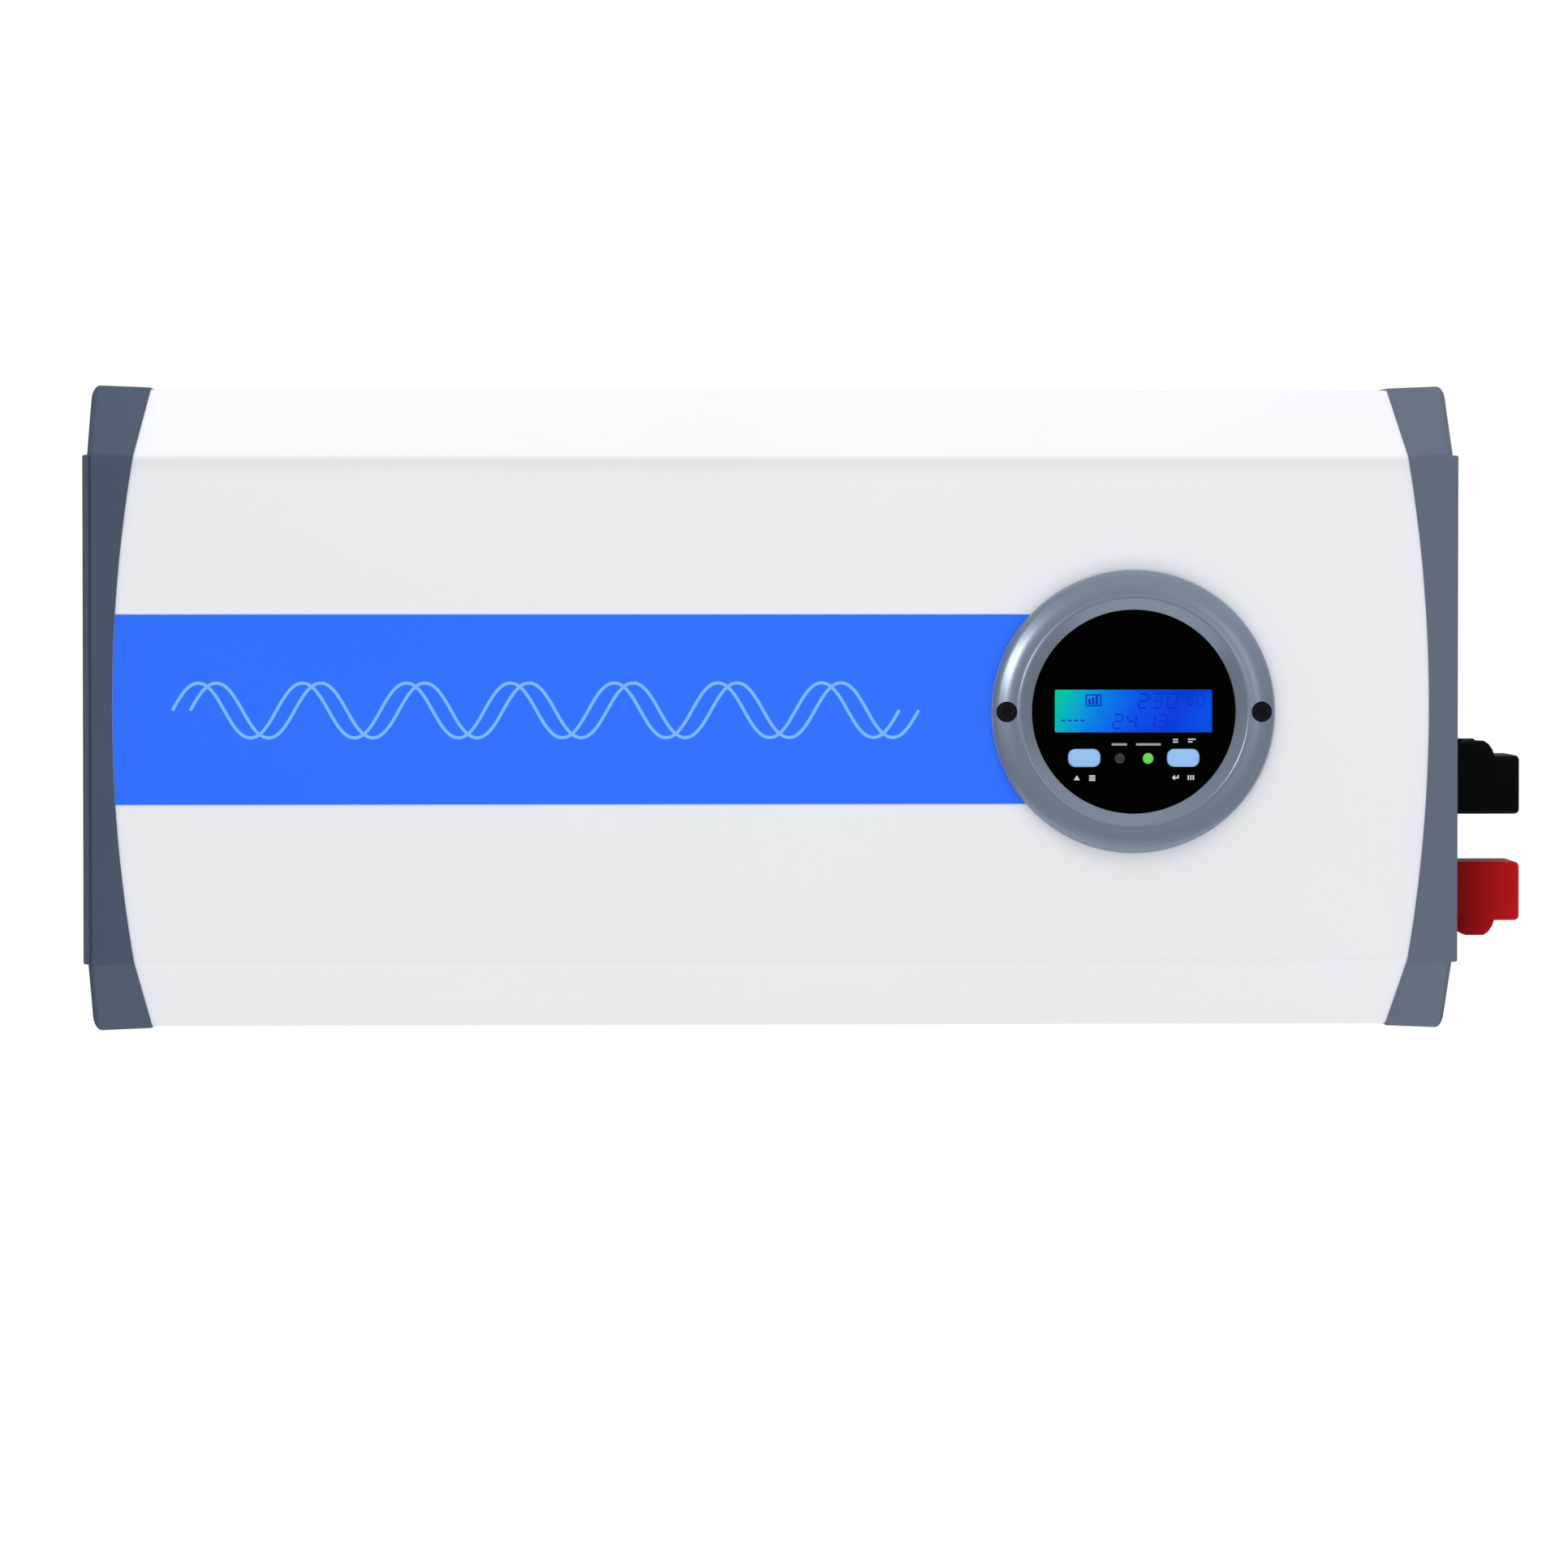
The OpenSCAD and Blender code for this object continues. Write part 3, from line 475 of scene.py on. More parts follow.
def add(name, part, place, mat, body="case", instead=(), changes=(), smooth=30):
    """Puts a part into the frame and lets it ride on a CAD body.
    changes are cut or fused parts, done in turn; edges up to smooth degrees are shaded soft."""
    obj = new_object(name, part, place)
    for operation, other in changes:
        tool = new_object("tool", other, place)
        change = obj.modifiers.new("Change", "BOOLEAN")
        change.operation = operation
        change.solver = "EXACT"
        change.object = tool
        bpy.context.view_layer.update()
        made = bpy.data.meshes.new_from_object(obj.evaluated_get(bpy.context.evaluated_depsgraph_get()))
        obj.modifiers.clear()
        obj.data = made
        clean(made)
        bpy.data.objects.remove(tool)
    mesh = obj.data
    mesh.materials.clear()
    mesh.materials.append(M[mat])
    mesh.polygons.foreach_set("use_smooth", [True] * len(mesh.polygons))
    mesh.set_sharp_from_angle(angle=math.radians(smooth))
    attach(obj, body)
    if instead:
        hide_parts(*instead)
    return obj


# ---------- end caps ----------

# Millimetres. The front is flat to FACE_HALF above and below its middle, and the lip is an arc over that.
CREASE = 2.5
FACE_HALF = 90.5
RIM = 10.25
LIP_CENTRE = 236.1
LIP_SAGITTA = 7.7
LIP_RADIUS = (FACE_HALF ** 2 + LIP_SAGITTA ** 2) / (2 * LIP_SAGITTA)
CORNER_STEPS = 8
SHORT_STEPS = 6
FACE_STEPS = 40
GAP = 0.04
PROUD = 1.5
SLOPE_SETBACK = 1.2
SLOPE_ROUND = (6.5, 3.4)
GROOVE_DEPTH = 0.7
SCREW_WELL = (3.85, 3.2)
FOOT_Y = -7.2
CAP_SCREW_PLACES = [(-112.4, -78), (-112.4, 78), (-7, -72.5), (-7, 72.5)]


def corner_arc(before, corner, after, radius):
    """The points of a rounded corner."""
    u, v = (before - corner).normalized(), (after - corner).normalized()
    half_angle = math.acos(u.dot(v)) / 2
    middle = corner + (u + v).normalized() * radius / math.sin(half_angle)
    first = (corner + u * radius / math.tan(half_angle)) - middle
    last = (corner + v * radius / math.tan(half_angle)) - middle
    start = math.atan2(first.y, first.x)
    sweep = (math.atan2(last.y, last.x) - start + math.pi) % (2 * math.pi) - math.pi
    turns = [start + sweep * s / CORNER_STEPS for s in range(CORNER_STEPS + 1)]
    return [middle + radius * Vector((math.cos(turn), math.sin(turn))) for turn in turns]


def case_outline(grow):
    """The case's section, grown by some millimetres, as (y, z, run) points.
    run counts the corners passed."""
    front = FRONT / MM - grow
    flat = FACE_HALF + grow * math.tan(math.radians(22.5))
    half = SIDE / MM + grow
    side = front + half - flat
    corners = [Vector(p) for p in
               ((-1, -half), (side, -half), (front, -flat), (front, flat), (side, half), (-1, half))]
    radius = max(0.3, CREASE + min(grow, 0))
    arcs = [corner_arc(corners[i - 1], corners[i], corners[i + 1], radius) for i in (1, 2, 3, 4)]
    starts = [corners[0]] + [arc[-1] for arc in arcs]
    ends = [arc[0] for arc in arcs] + [corners[5]]
    counts = (SHORT_STEPS, SHORT_STEPS, FACE_STEPS, SHORT_STEPS, SHORT_STEPS)
    points = []
    for number, (start, end, count) in enumerate(zip(starts, ends, counts)):
        for step in range(count):
            points.append((*(start + (end - start) * step / count), number))
        if number < len(arcs):
            for k, p in enumerate(arcs[number][:-1]):
                points.append((*p, number + (0.25 if k < CORNER_STEPS / 2 else 0.75)))
    points.append((*corners[5], len(arcs)))
    return points


def lip_at(z):
    """Where the cap's curved lip starts along the case, at a height z."""
    z = abs(z)
    if z <= FACE_HALF:
        return LIP_CENTRE - LIP_RADIUS + math.sqrt(LIP_RADIUS ** 2 - z * z)
    crease = LIP_CENTRE - LIP_SAGITTA
    return crease + (CAP_LIP / MM - crease) * min(1, (z - FACE_HALF) / (SIDE / MM - FACE_HALF))


def on_face(run):
    """Whether a run is the flat front, or the nearer half of a corner beside it."""
    return 1.5 < run < 2.5


def cap_section(lip, stop, on_front, grooved):
    """The cap's wall as (grow, x) points, from its lip over its outside to its end and its inner rim."""
    panel = PANEL / MM + 0.1
    section = [(GAP, lip), (0.55, lip + 0.05), (0.8, lip + 0.5)]
    section += [(0.8 + 0.66 * share, lip + (stop - 4.3 - lip) * share) for share in (0.25, 0.5, 0.75)]
    if on_front:
        dip = GROOVE_DEPTH if grooved else 0.0
        section += [(PROUD, stop - 4.0), (PROUD, stop - 3.2), (PROUD - dip, stop - 3.0),
                    (PROUD - dip, stop - 2.4), (1.48, stop - 2.2), (1.42, stop - 0.9), (1.05, stop - 0.35),
                    (0.4, stop - 0.05), (-0.4, stop)]
    else:
        inward, back = SLOPE_ROUND
        for turn in (math.pi * k / 16 for k in range(9)):
            section.append((PROUD - inward * (1 - math.cos(turn)), stop - back * (1 - math.sin(turn))))
    section += [(-RIM + 0.5, stop), (-RIM + 0.15, stop - 0.15), (-RIM, stop - 0.5)]
    section += [(-RIM, panel), (GAP, panel)]
    return section


def end_cap_part(grooved):
    end = CAP_END / MM
    outlines = {}
    rings = []
    run_before = None
    for index, (_, z, run) in enumerate(case_outline(0)):
        stops = [end if on_face(run) else end - SLOPE_SETBACK]
        if index and on_face(run_before) != on_face(run):
            stops.insert(0, end if on_face(run_before) else end - SLOPE_SETBACK)
        for stop in stops:
            ring = []
            for grow, x in cap_section(lip_at(z), stop, stop == end, grooved):
                key = round(grow, 4)
                if key not in outlines:
                    outlines[key] = case_outline(grow)
                ring.append(Vector((x, *outlines[key][index][:2])))
            rings.append(ring)
        run_before = run
    foot = slab(2 * (SIDE / MM - 8), 11.6, 0.8, PANEL / MM + 0.1, end - 0.3, edge=0.6)
    foot_place = Matrix(((0, 0, 1, 0), (0, 1, 0, FOOT_Y), (1, 0, 0, 0), (0, 0, 0, 1)))
    return join(loft(rings), moved(foot, foot_place))


def cap_holes():
    """Round wells over the four long screws of a cap."""
    radius, depth = SCREW_WELL
    low, high = PANEL / MM + depth, CAP_END / MM + 2
    holes = []
    for y, z in CAP_SCREW_PLACES:
        turn = Matrix(((0, 0, 1, 0), (1, 0, 0, y), (0, 1, 0, z), (0, 0, 0, 1)))
        holes.append(cut(moved(lathe([(0, low), (radius, low), (radius, high), (0, high)], 40), turn)))
    return holes


metres = Matrix.Scale(MM, 4)
flipped = Matrix.Scale(-1, 4, (1, 0, 0)) @ metres
add("right_end_cap_shell", end_cap_part(False), metres, "slate_plastic",
    instead=["right_end_cap"], changes=cap_holes(), smooth=28)
add("left_end_cap_shell", end_cap_part(True), flipped, "slate_plastic",
    instead=["left_end_cap"], changes=cap_holes(), smooth=28)

# ---------- display ----------

face = face_frame()
RING_SCREWS = (-45.8, 45.8)
CROWN_START, CROWN_LOW = 48.4, 3.4
CROWN_WIDTH, CROWN_RISE, CROWN_BULGE = 6.4, 1.25, 0.34
ring_profile = [(41.4, 0.02), (50.6, 0.02), (50.8, 0.2), (50.85, 0.9), (50.7, 1.7), (50.2, 2.5)]
ring_profile += [(49.4, 3.05), (CROWN_START, CROWN_LOW)]
for step in range(1, 13):
    height = CROWN_LOW + CROWN_RISE * step / 12 + CROWN_BULGE * math.sin(math.pi * step / 12)
    ring_profile.append((CROWN_START - CROWN_WIDTH * step / 12, height))
ring_profile += [(41.6, 4.82), (41.1, 4.86), (40.6, 4.68), (40.1, 4.3)]
ring_profile += [(40.1 - 3.3 * step / 4, 4.3 - 2.2 * step / 4) for step in range(1, 4)]
ring_profile += [(36.7, 1.95), (36.6, 1.6), (36.6, 1.46), (41.4, 1.46)]
screw_well = lathe([(0, 1.0), (3.72, 1.0), (3.72, 9), (0, 9)], 48)
ring_wells = [cut(moved(screw_well, Matrix.Translation((x, 0, 0)))) for x in RING_SCREWS]
bezel = add("bezel_ring", lathe(ring_profile, 192), face, "bezel_grey",
            instead=["display_bezel"], changes=ring_wells)

PILL = rounded_rect(11.6, 6.4, 2.6, 10)
PILL_STEPS = [(-1.8, 0), (1.75, 0), (2.0, 0.1), (2.2, 0.3), (2.32, 0.6), (2.38, 1.1), (2.4, 1.8)]
for button in ("select_button", "enter_button"):
    spot = centre(button)
    flange = slab(13.5, 8.3, 3, -1.9, -0.72)
    stem = lathe([(0, -4.1), (1.6, -4.1), (1.6, -1.85), (0, -1.85)], 32)
    add(button + "_cap", join(layers(PILL, PILL_STEPS), flange, stem), face_frame(spot.x, spot.z),
        "button_blue", body=button, instead=[button], smooth=40)

DOME = [(0, -7.4), (2.6, -7.4), (2.6, -6.5), (1.9, -6.4), (1.9, 1.2), (1.84, 1.42), (1.6, 1.68), (1.2, 1.88),
        (0.7, 1.99), (0, 2.03)]
for lamp, slot in (("fault_lamp", "lamp_dark"), ("working_lamp", "lamp_green")):
    spot = centre(lamp)
    add(lamp + "_lens", lathe(DOME, 48), face_frame(spot.x, spot.z), slot, instead=[lamp], smooth=50)

SEGMENTS = {"0": "abcdef", "1": "bc", "2": "abged", "3": "abgcd", "4": "fgbc", "5": "afgcd"}
DIGIT_LEAN = 0.1
LCD_LOW, LCD_TOP = 0.08, 0.15


def digit(figure, x, y, width, height, thick):
    """Seven-segment shapes, as flat slabs on the glass."""
    spans = {"a": (0, height / 2, 1), "g": (0, 0, 1), "d": (0, -height / 2, 1),
             "f": (-width / 2, height / 4, 0), "b": (width / 2, height / 4, 0),
             "e": (-width / 2, -height / 4, 0), "c": (width / 2, -height / 4, 0)}
    parts = []
    for key in SEGMENTS[figure]:
        dx, dy, flat = spans[key]
        long = (width if flat else height / 2) - thick * 1.15
        size = (long, thick) if flat else (thick, long)
        parts.append(slab(*size, 0.12, LCD_LOW, LCD_TOP, x + dx + DIGIT_LEAN * dy, y + dy))
    return parts


def dash(width, height, x, y, radius=0.15):
    return slab(width, height, radius, LCD_LOW, LCD_TOP, x, y)


# Each number on the LCD: its digits, first place, pitch, row, digit width and height, stroke.
LCD_NUMBERS = (("230", 3.5, 5.2, 3.6, 3.3, 5.0, 0.62), ("50", 20.6, 3.6, 4.1, 2.2, 3.6, 0.5),
               ("24", -5.6, 5.0, -3.7, 3.2, 5.0, 0.62), ("13", 6.2, 4.6, -3.7, 2.8, 4.6, 0.55))
marks = []
for figures, first, pitch, row, width, height, stroke in LCD_NUMBERS:
    for number, figure in enumerate(figures):
        marks += digit(figure, first + pitch * number, row, width, height, stroke)
marks.append(dash(0.7, 0.7, 2.1, -6.1, 0.2))
marks += [dash(1.5, 0.6, -25.2 + 2.3 * k, -3.4) for k in range(4)]
marks += [dash(5.4, 0.5, -14.4, 1.9 + 3.9 * k) for k in range(2)]
marks += [dash(0.5, 4.3, -17.0 + 5.2 * k, 3.85) for k in range(2)]
marks += [dash(0.9, 2.2 + 0.5 * k, -15.8 + 1.3 * k, 3.4 + 0.25 * k) for k in range(3)]
add("lcd_digits", join(*marks), face_frame(lcd.x, lcd.z), "lcd_ink")

# Prints on the window, placed in millimetres from the display's middle.
PRINT_LOW, PRINT_TOP = 1.38, 1.44
LAMP_ROW, UPPER_ROW, LEFT_ROW, RIGHT_ROW = -11.75, -10.44, -23.82, -23.68


def bar(x, y, width, height):
    left, right, low, high = x - width / 2, x + width / 2, y - height / 2, y + height / 2
    return [(left, low), (right, low), (right, high), (left, high)]


def symbol(x, y, *outlines):
    """Small printed symbol made of flat outlines round a spot on the window."""
    place = Matrix.Translation((x, y, 0))
    return [moved(prism(outline, PRINT_LOW, PRINT_TOP), place) for outline in outlines]


LAMP_DASHES = ((-5.19, 5.53), (5.28, 9.02))
lamp_dashes = [slab(width, 0.8, 0.3, PRINT_LOW, PRINT_TOP, x, LAMP_ROW) for x, width in LAMP_DASHES]
UP = [(-1.1, -0.8), (1.1, -0.8), (0.0, 1.0)]
BACK_ARROW = [(-1.3, 0.0), (-0.2, -1.0), (-0.2, -0.3), (1.2, -0.3), (1.2, 0.9), (0.7, 0.9), (0.7, 0.25),
              (-0.2, 0.25), (-0.2, 1.0)]
symbols = symbol(-20.46, LEFT_ROW, UP)
symbols += symbol(-14.93, LEFT_ROW, *(bar(0, y, 2.2, 0.5) for y in (0.75, 0, -0.75)))
symbols += symbol(15.03, RIGHT_ROW, BACK_ARROW)
symbols += symbol(20.55, RIGHT_ROW, *(bar(x, 0, 0.5, 1.7) for x in (-0.9, 0, 0.9)))
symbols += symbol(15.03, UPPER_ROW, bar(0, 0.4, 1.9, 0.45), bar(0, -0.5, 1.9, 0.45))
symbols += symbol(20.84, UPPER_ROW, bar(0, 0.5, 2.8, 0.45), bar(-0.5, -0.4, 1.6, 0.45))
add("lamp_dashes", join(*lamp_dashes), face, "print_grey")
add("button_marks", join(*symbols), face, "print_white")

# ---------- blue band ----------

WAVE_HEIGHT = 9.8
WAVE_LEVEL = -0.3
WAVE_PERIODS = 7
WAVE_STEPS = 48
WAVE_WIDTH = 1.15
WAVE_SPANS = ((-214.6, 45.4), (-208.2, 52.4))


def wave(start, end):
    length = end - start
    path = []
    for step in range(WAVE_PERIODS * WAVE_STEPS + 1):
        x = start + length * step / (WAVE_PERIODS * WAVE_STEPS)
        turn = 2 * math.pi * WAVE_PERIODS * (x - start) / length
        path.append((x, WAVE_HEIGHT * (math.sin(turn) + 0.02 * math.sin(3 * turn)) / 0.98 + WAVE_LEVEL))
    return path


label_out = (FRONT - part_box("front_label")[0].y) / MM
waves = [ribbon(wave(*span), WAVE_WIDTH, label_out - 0.03, label_out + rise)
         for span, rise in zip(WAVE_SPANS, (0.03, 0.04))]
add("wave_lines", join(*waves), face_frame(0, 0), "wave_ink")

# ---------- fan ----------

fan = centre("fan_frame")
fan_place = end_frame(1, fan.y, fan.z)
FAN_REAR = (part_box("fan_frame")[0].x - PANEL) / MM
FAN_FRONT = (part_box("fan_frame")[1].x - PANEL) / MM
BLADES = 7
BLADE_ROOT, BLADE_TIP = 17.6, 37.1
BLADE_STEPS = 8
BLADE_TURN, BLADE_SWEEP = 0.33, 0.08
BLADE_RISE, BLADE_TAPER = 8.2, 1.6
BLADE_THICK = 0.75


def blade(number):
    """A pitched blade, skinned from its root to its tip."""
    middle = (FAN_REAR + FAN_FRONT) / 2
    rings = []
    for step in range(BLADE_STEPS + 1):
        share = step / BLADE_STEPS
        radius = BLADE_ROOT + (BLADE_TIP - BLADE_ROOT) * share
        loop = []
        for side in (1, -1):
            for k in range(9):
                s = (-1 + k / 4) * side
                crown = 1 - s * s
                lead = s * BLADE_TURN + 0.05 * crown + BLADE_SWEEP * share ** 2
                turn = 2 * math.pi * number / BLADES + lead
                height = middle + s * (BLADE_RISE - BLADE_TAPER * share) + 1.5 * crown
                thick = BLADE_THICK * math.sqrt(max(0.05, crown)) * side
                loop.append((radius * math.cos(turn) + thick * 0.5 * math.sin(turn),
                             radius * math.sin(turn) - thick * 0.5 * math.cos(turn), height + thick * 0.85))
        rings.append(loop)
    return loft(rings)


hub = lathe([(15.5, FAN_REAR + 3.8), (17.9, FAN_REAR + 3.8), (18, FAN_REAR + 4.2), (18, FAN_FRONT - 4.6),
             (17.7, FAN_FRONT - 3.6), (17, FAN_FRONT - 2.9), (15.8, FAN_FRONT - 2.5), (11, FAN_FRONT - 2.5),
             (10.6, FAN_FRONT - 2.9), (0, FAN_FRONT - 2.9), (0, FAN_FRONT - 5), (15.5, FAN_FRONT - 5)])
shaft = lathe([(0, FAN_REAR + 2.5), (1.5, FAN_REAR + 2.5), (1.5, FAN_FRONT - 4), (0, FAN_FRONT - 4)], 32)
add("fan_wheel", join(hub, shaft, *(blade(number) for number in range(BLADES))), fan_place,
    "dark_grey_plastic", body="rotor", instead=["fan_rotor"], smooth=40)

GRILLE_RINGS = (8, 15, 22, 29, 36)
GRILLE_RING_WIRE, GRILLE_RING_HEIGHT = 0.68, 0.9
STAY_WIRE, STAY_HEIGHT, STAY_START, STAY_SHIFT = 0.62, 0.72, 7.6, 1.6
FAN_HOLE = 35.75 * math.sqrt(2)
EYELET = [(2.15, 0.1), (4.5, 0.1), (4.75, 0.35), (4.75, 1.25), (4.5, 1.55), (2.4, 1.55), (2.15, 1.3)]


def stay(turn, shift):
    """The path of a wire from the middle of the grille out to an eyelet."""
    points = []
    for step in range(13):
        out = STAY_START + (FAN_HOLE - 4.6 - STAY_START) * step / 12
        aside = shift * (1 + 0.8 * (step / 12) ** 3)
        points.append((out * math.cos(turn) - aside * math.sin(turn),
                       out * math.sin(turn) + aside * math.cos(turn), STAY_HEIGHT))
    return points


wires = []
for radius in GRILLE_RINGS:
    path = [(*point, GRILLE_RING_HEIGHT) for point in round_outline(0, 0, radius, 96)]
    wires.append(wire(path, GRILLE_RING_WIRE, loop=True))
for corner in range(4):
    turn = math.radians(45 + 90 * corner)
    for shift in (-STAY_SHIFT, STAY_SHIFT):
        wires.append(wire(stay(turn, shift), STAY_WIRE))
    eyelet_place = Matrix.Translation((FAN_HOLE * math.cos(turn), FAN_HOLE * math.sin(turn), 0))
    wires.append(moved(lathe(EYELET, 48), eyelet_place))
add("fan_grille", join(*wires), fan_place, "zinc_steel", instead=["fan_guard"], smooth=40)

# ---------- battery terminals ----------

STUD_CORE, STUD_RADIUS = 3.4, 4.0
THREAD_PITCH, THREAD_DEPTH, THREAD_LENGTH, THREAD_STEP = 1.25, 0.6, 8.8, 0.15
STUD_SEGMENTS = 48


def stud_part(top):
    """A stud with a collar inside the panel and a helical thread at its outer end."""
    foot = top - THREAD_LENGTH
    rows = [(0, -27), (3.1, -27), (STUD_CORE, -26.6), (STUD_CORE, -18), (5.3, -18), (5.5, -17.8)]
    rows += [(5.5, -13.2), (5.3, -13), (STUD_CORE, -13), (STUD_CORE, foot)]
    grid = [[row] * STUD_SEGMENTS for row in rows]
    steps = int(THREAD_LENGTH / THREAD_STEP)
    for step in range(1, steps + 1):
        height = foot + (THREAD_LENGTH - 0.4) * step / steps
        ring = []
        for k in range(STUD_SEGMENTS):
            phase = (height / THREAD_PITCH - k / STUD_SEGMENTS) % 1
            ring.append((STUD_RADIUS - THREAD_DEPTH * abs(2 * phase - 1), height))
        grid.append(ring)
    grid += [[(3.2, top)] * STUD_SEGMENTS, [(0, top)] * STUD_SEGMENTS]
    rings = []
    for ring in grid:
        turns = [2 * math.pi * k / STUD_SEGMENTS for k in range(STUD_SEGMENTS)]
        rings.append([(r * math.cos(turn), r * math.sin(turn), h) for turn, (r, h) in zip(turns, ring)])
    return loft(rings, closed=False)


MARK_BARS = {"negative": [(6.2, 1.5)], "positive": [(6.2, 1.5), (1.5, 6.2)]}
for sign, sizes in MARK_BARS.items():
    low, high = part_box(sign + "_stud")
    spot = (low + high) / 2
    add(sign + "_threaded_stud", stud_part((high.x - PANEL) / MM), end_frame(1, spot.y, spot.z),
        "brass_metal", instead=[sign + "_stud"], smooth=60)
    mark_place = end_frame(1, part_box(sign + "_base")[0].y - 0.008, spot.z)
    add(sign + "_mark", join(*(slab(*size, 0.3, -0.02, 0.12) for size in sizes)), mark_place,
        "print_white")

HOOD_WALL = 1.8
HOOD_EDGE = 1.7
HOOD_CORNER = 2.0
KNUCKLE = 5.2
KNUCKLE_INNER = 11.7
PIN_HOLE = 1.56
CABLE_NOTCH = 7


def hood(sign, hinge_u, hinge_b, start, reach, low, high, half):
    """A terminal hood, and what is fused to it and cut out of it: cheeks and knuckles round the hinge.
    u counts out of the panel, and b from the stud towards the hinge: up for the negative hood, down for the
    positive one. half is half its width."""
    mid = (low + high) / 2
    inner = KNUCKLE_INNER - 0.05
    outline = [(a, (b + mid) * sign) for a, b in rounded_rect(2 * half, high - low, HOOD_CORNER)][::sign]
    steps = [(start, 0.25), (start + 0.3, 0)]
    for turn in (math.pi * k / 12 for k in range(7)):
        steps.append((reach - HOOD_EDGE + HOOD_EDGE * math.sin(turn), HOOD_EDGE * (1 - math.cos(turn))))
    shell = layers(outline, steps)
    inside = (2 * (half - HOOD_WALL), high - low - 2 * HOOD_WALL)
    changes = [cut(slab(*inside, 0.8, 0, reach - HOOD_WALL, 0, mid * sign))]
    top = hinge_b + KNUCKLE
    cheek = [(start + 0.2, high - 3), (hinge_u + 6.0, high - 3), (hinge_u + 5.9, high - 0.3),
             (hinge_u + 5.0, high + 2.2), (hinge_u + 3.6, top - 1.2), (hinge_u + 1.8, top)]
    cheek += [(hinge_u - 4.6, top), (hinge_u - 6.0, top - 0.4), (hinge_u - 7.4, hinge_b + 4.0)]
    cheek.append((start + 0.2, high + 0.8))
    for side in (-1, 1):
        cheek_steps = [(side * (half - 1.7), 0), (side * (half - 0.6), 0), (side * (half - 0.15), 0.2),
                       (side * half, 0.6)]
        knuckle_steps = [(side * KNUCKLE_INNER, 0), (side * (half - 0.9), 0)]
        changes.append(fuse(across(cheek, cheek_steps[::side], sign)))
        changes.append(fuse(across(round_outline(hinge_u, hinge_b, KNUCKLE), knuckle_steps[::side], sign)))
    gap_end = hinge_u + KNUCKLE + 1.4
    hinge_gap = [(start - 1, 6), (gap_end, 6), (gap_end, 18), (start - 1, 18)]
    changes.append(cut(across(hinge_gap, [(-inner, 0), (inner, 0)], sign)))
    notch = [(start + CABLE_NOTCH + CABLE_NOTCH * math.cos(turn), CABLE_NOTCH * math.sin(turn))
             for turn in (math.pi * (k / 24 - 0.5) for k in range(25))]
    notch += [(start - 1, CABLE_NOTCH), (start - 1, -CABLE_NOTCH)]
    changes.append(cut(across(notch, [(0, 0), (half + 1, 0)], sign)))
    pin_hole = round_outline(hinge_u, hinge_b, PIN_HOLE)
    changes.append(cut(across(pin_hole, [(-half + 0.4, 0), (half - 0.4, 0)], sign)))
    return shell, changes


for name, sign, finish_name in (("negative", 1, "black_cover_plastic"), ("positive", -1, "red_plastic")):
    stud = centre(name + "_stud")
    low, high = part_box(name + "_cover")
    axis = next(Vector(j["pos_m"]) for j in frame["joints"] if j["name"] == name + "_cover_hinge")
    hinge_u, hinge_b = (axis.x - PANEL) / MM, (axis.z - stud.z) / MM * sign
    near = low.z if sign > 0 else high.z
    start, reach = (low.x - PANEL) / MM, (high.x - PANEL) / MM
    shell, changes = hood(sign, hinge_u, hinge_b, start, reach, (near - stud.z) / MM * sign, hinge_b - 0.2,
                          (high.y - low.y) / 2 / MM)
    add(name + "_hood", shell, end_frame(1, stud.y, stud.z), finish_name,
        body=name + "_cover", instead=[name + "_cover"], changes=changes, smooth=32)

# ---------- left end details ----------

ROCKER_REST = math.radians(11)
ROCKER_AXIS, ROCKER_HALF, ROCKER_MIDDLE, ROCKER_RISE = -2, 13, 4, 2.8
MARK_AT = 7.2
switch = centre("rocker_switch_body")
rocker_place = (end_frame(-1, switch.y, switch.z) @ Matrix.Translation((0, 0, ROCKER_AXIS))
                @ Matrix.Rotation(-ROCKER_REST, 4, "X"))
mark_height = ROCKER_MIDDLE + ROCKER_RISE * MARK_AT / ROCKER_HALF
mark_slope = math.atan(ROCKER_RISE / ROCKER_HALF)
on_bar = slab(0.9, 3.4, 0.3, -0.05, 0.06)
off_ring = lathe([(1.15, -0.05), (2.0, -0.05), (2.0, 0.06), (1.15, 0.06)], 40)
on_place = Matrix.Translation((0, MARK_AT, mark_height)) @ Matrix.Rotation(mark_slope, 4, "X")
off_place = Matrix.Translation((0, -MARK_AT, mark_height)) @ Matrix.Rotation(-mark_slope, 4, "X")
add("rocker_marks", join(moved(on_bar, on_place), moved(off_ring, off_place)), rocker_place,
    "print_white", body="rocker")

CONTACTS = 8
CONTACT_PITCH = 1.02
data = centre("data_port")
contacts = []
for k in range(CONTACTS):
    z = -3.57 + CONTACT_PITCH * k
    contacts.append(wire([(2.9, z, -1.2), (1.6, z, -3.0), (-0.4, z, -9.0), (1.4, z, -12.6)], 0.22, 8))
contacts.append(slab(5.6, 10.4, 0.4, -13.8, -12.4))
add("data_contacts", join(*contacts), end_frame(-1, data.y, data.z), "brass_metal", smooth=40)

# ---------- CAD nodes that are shown ----------

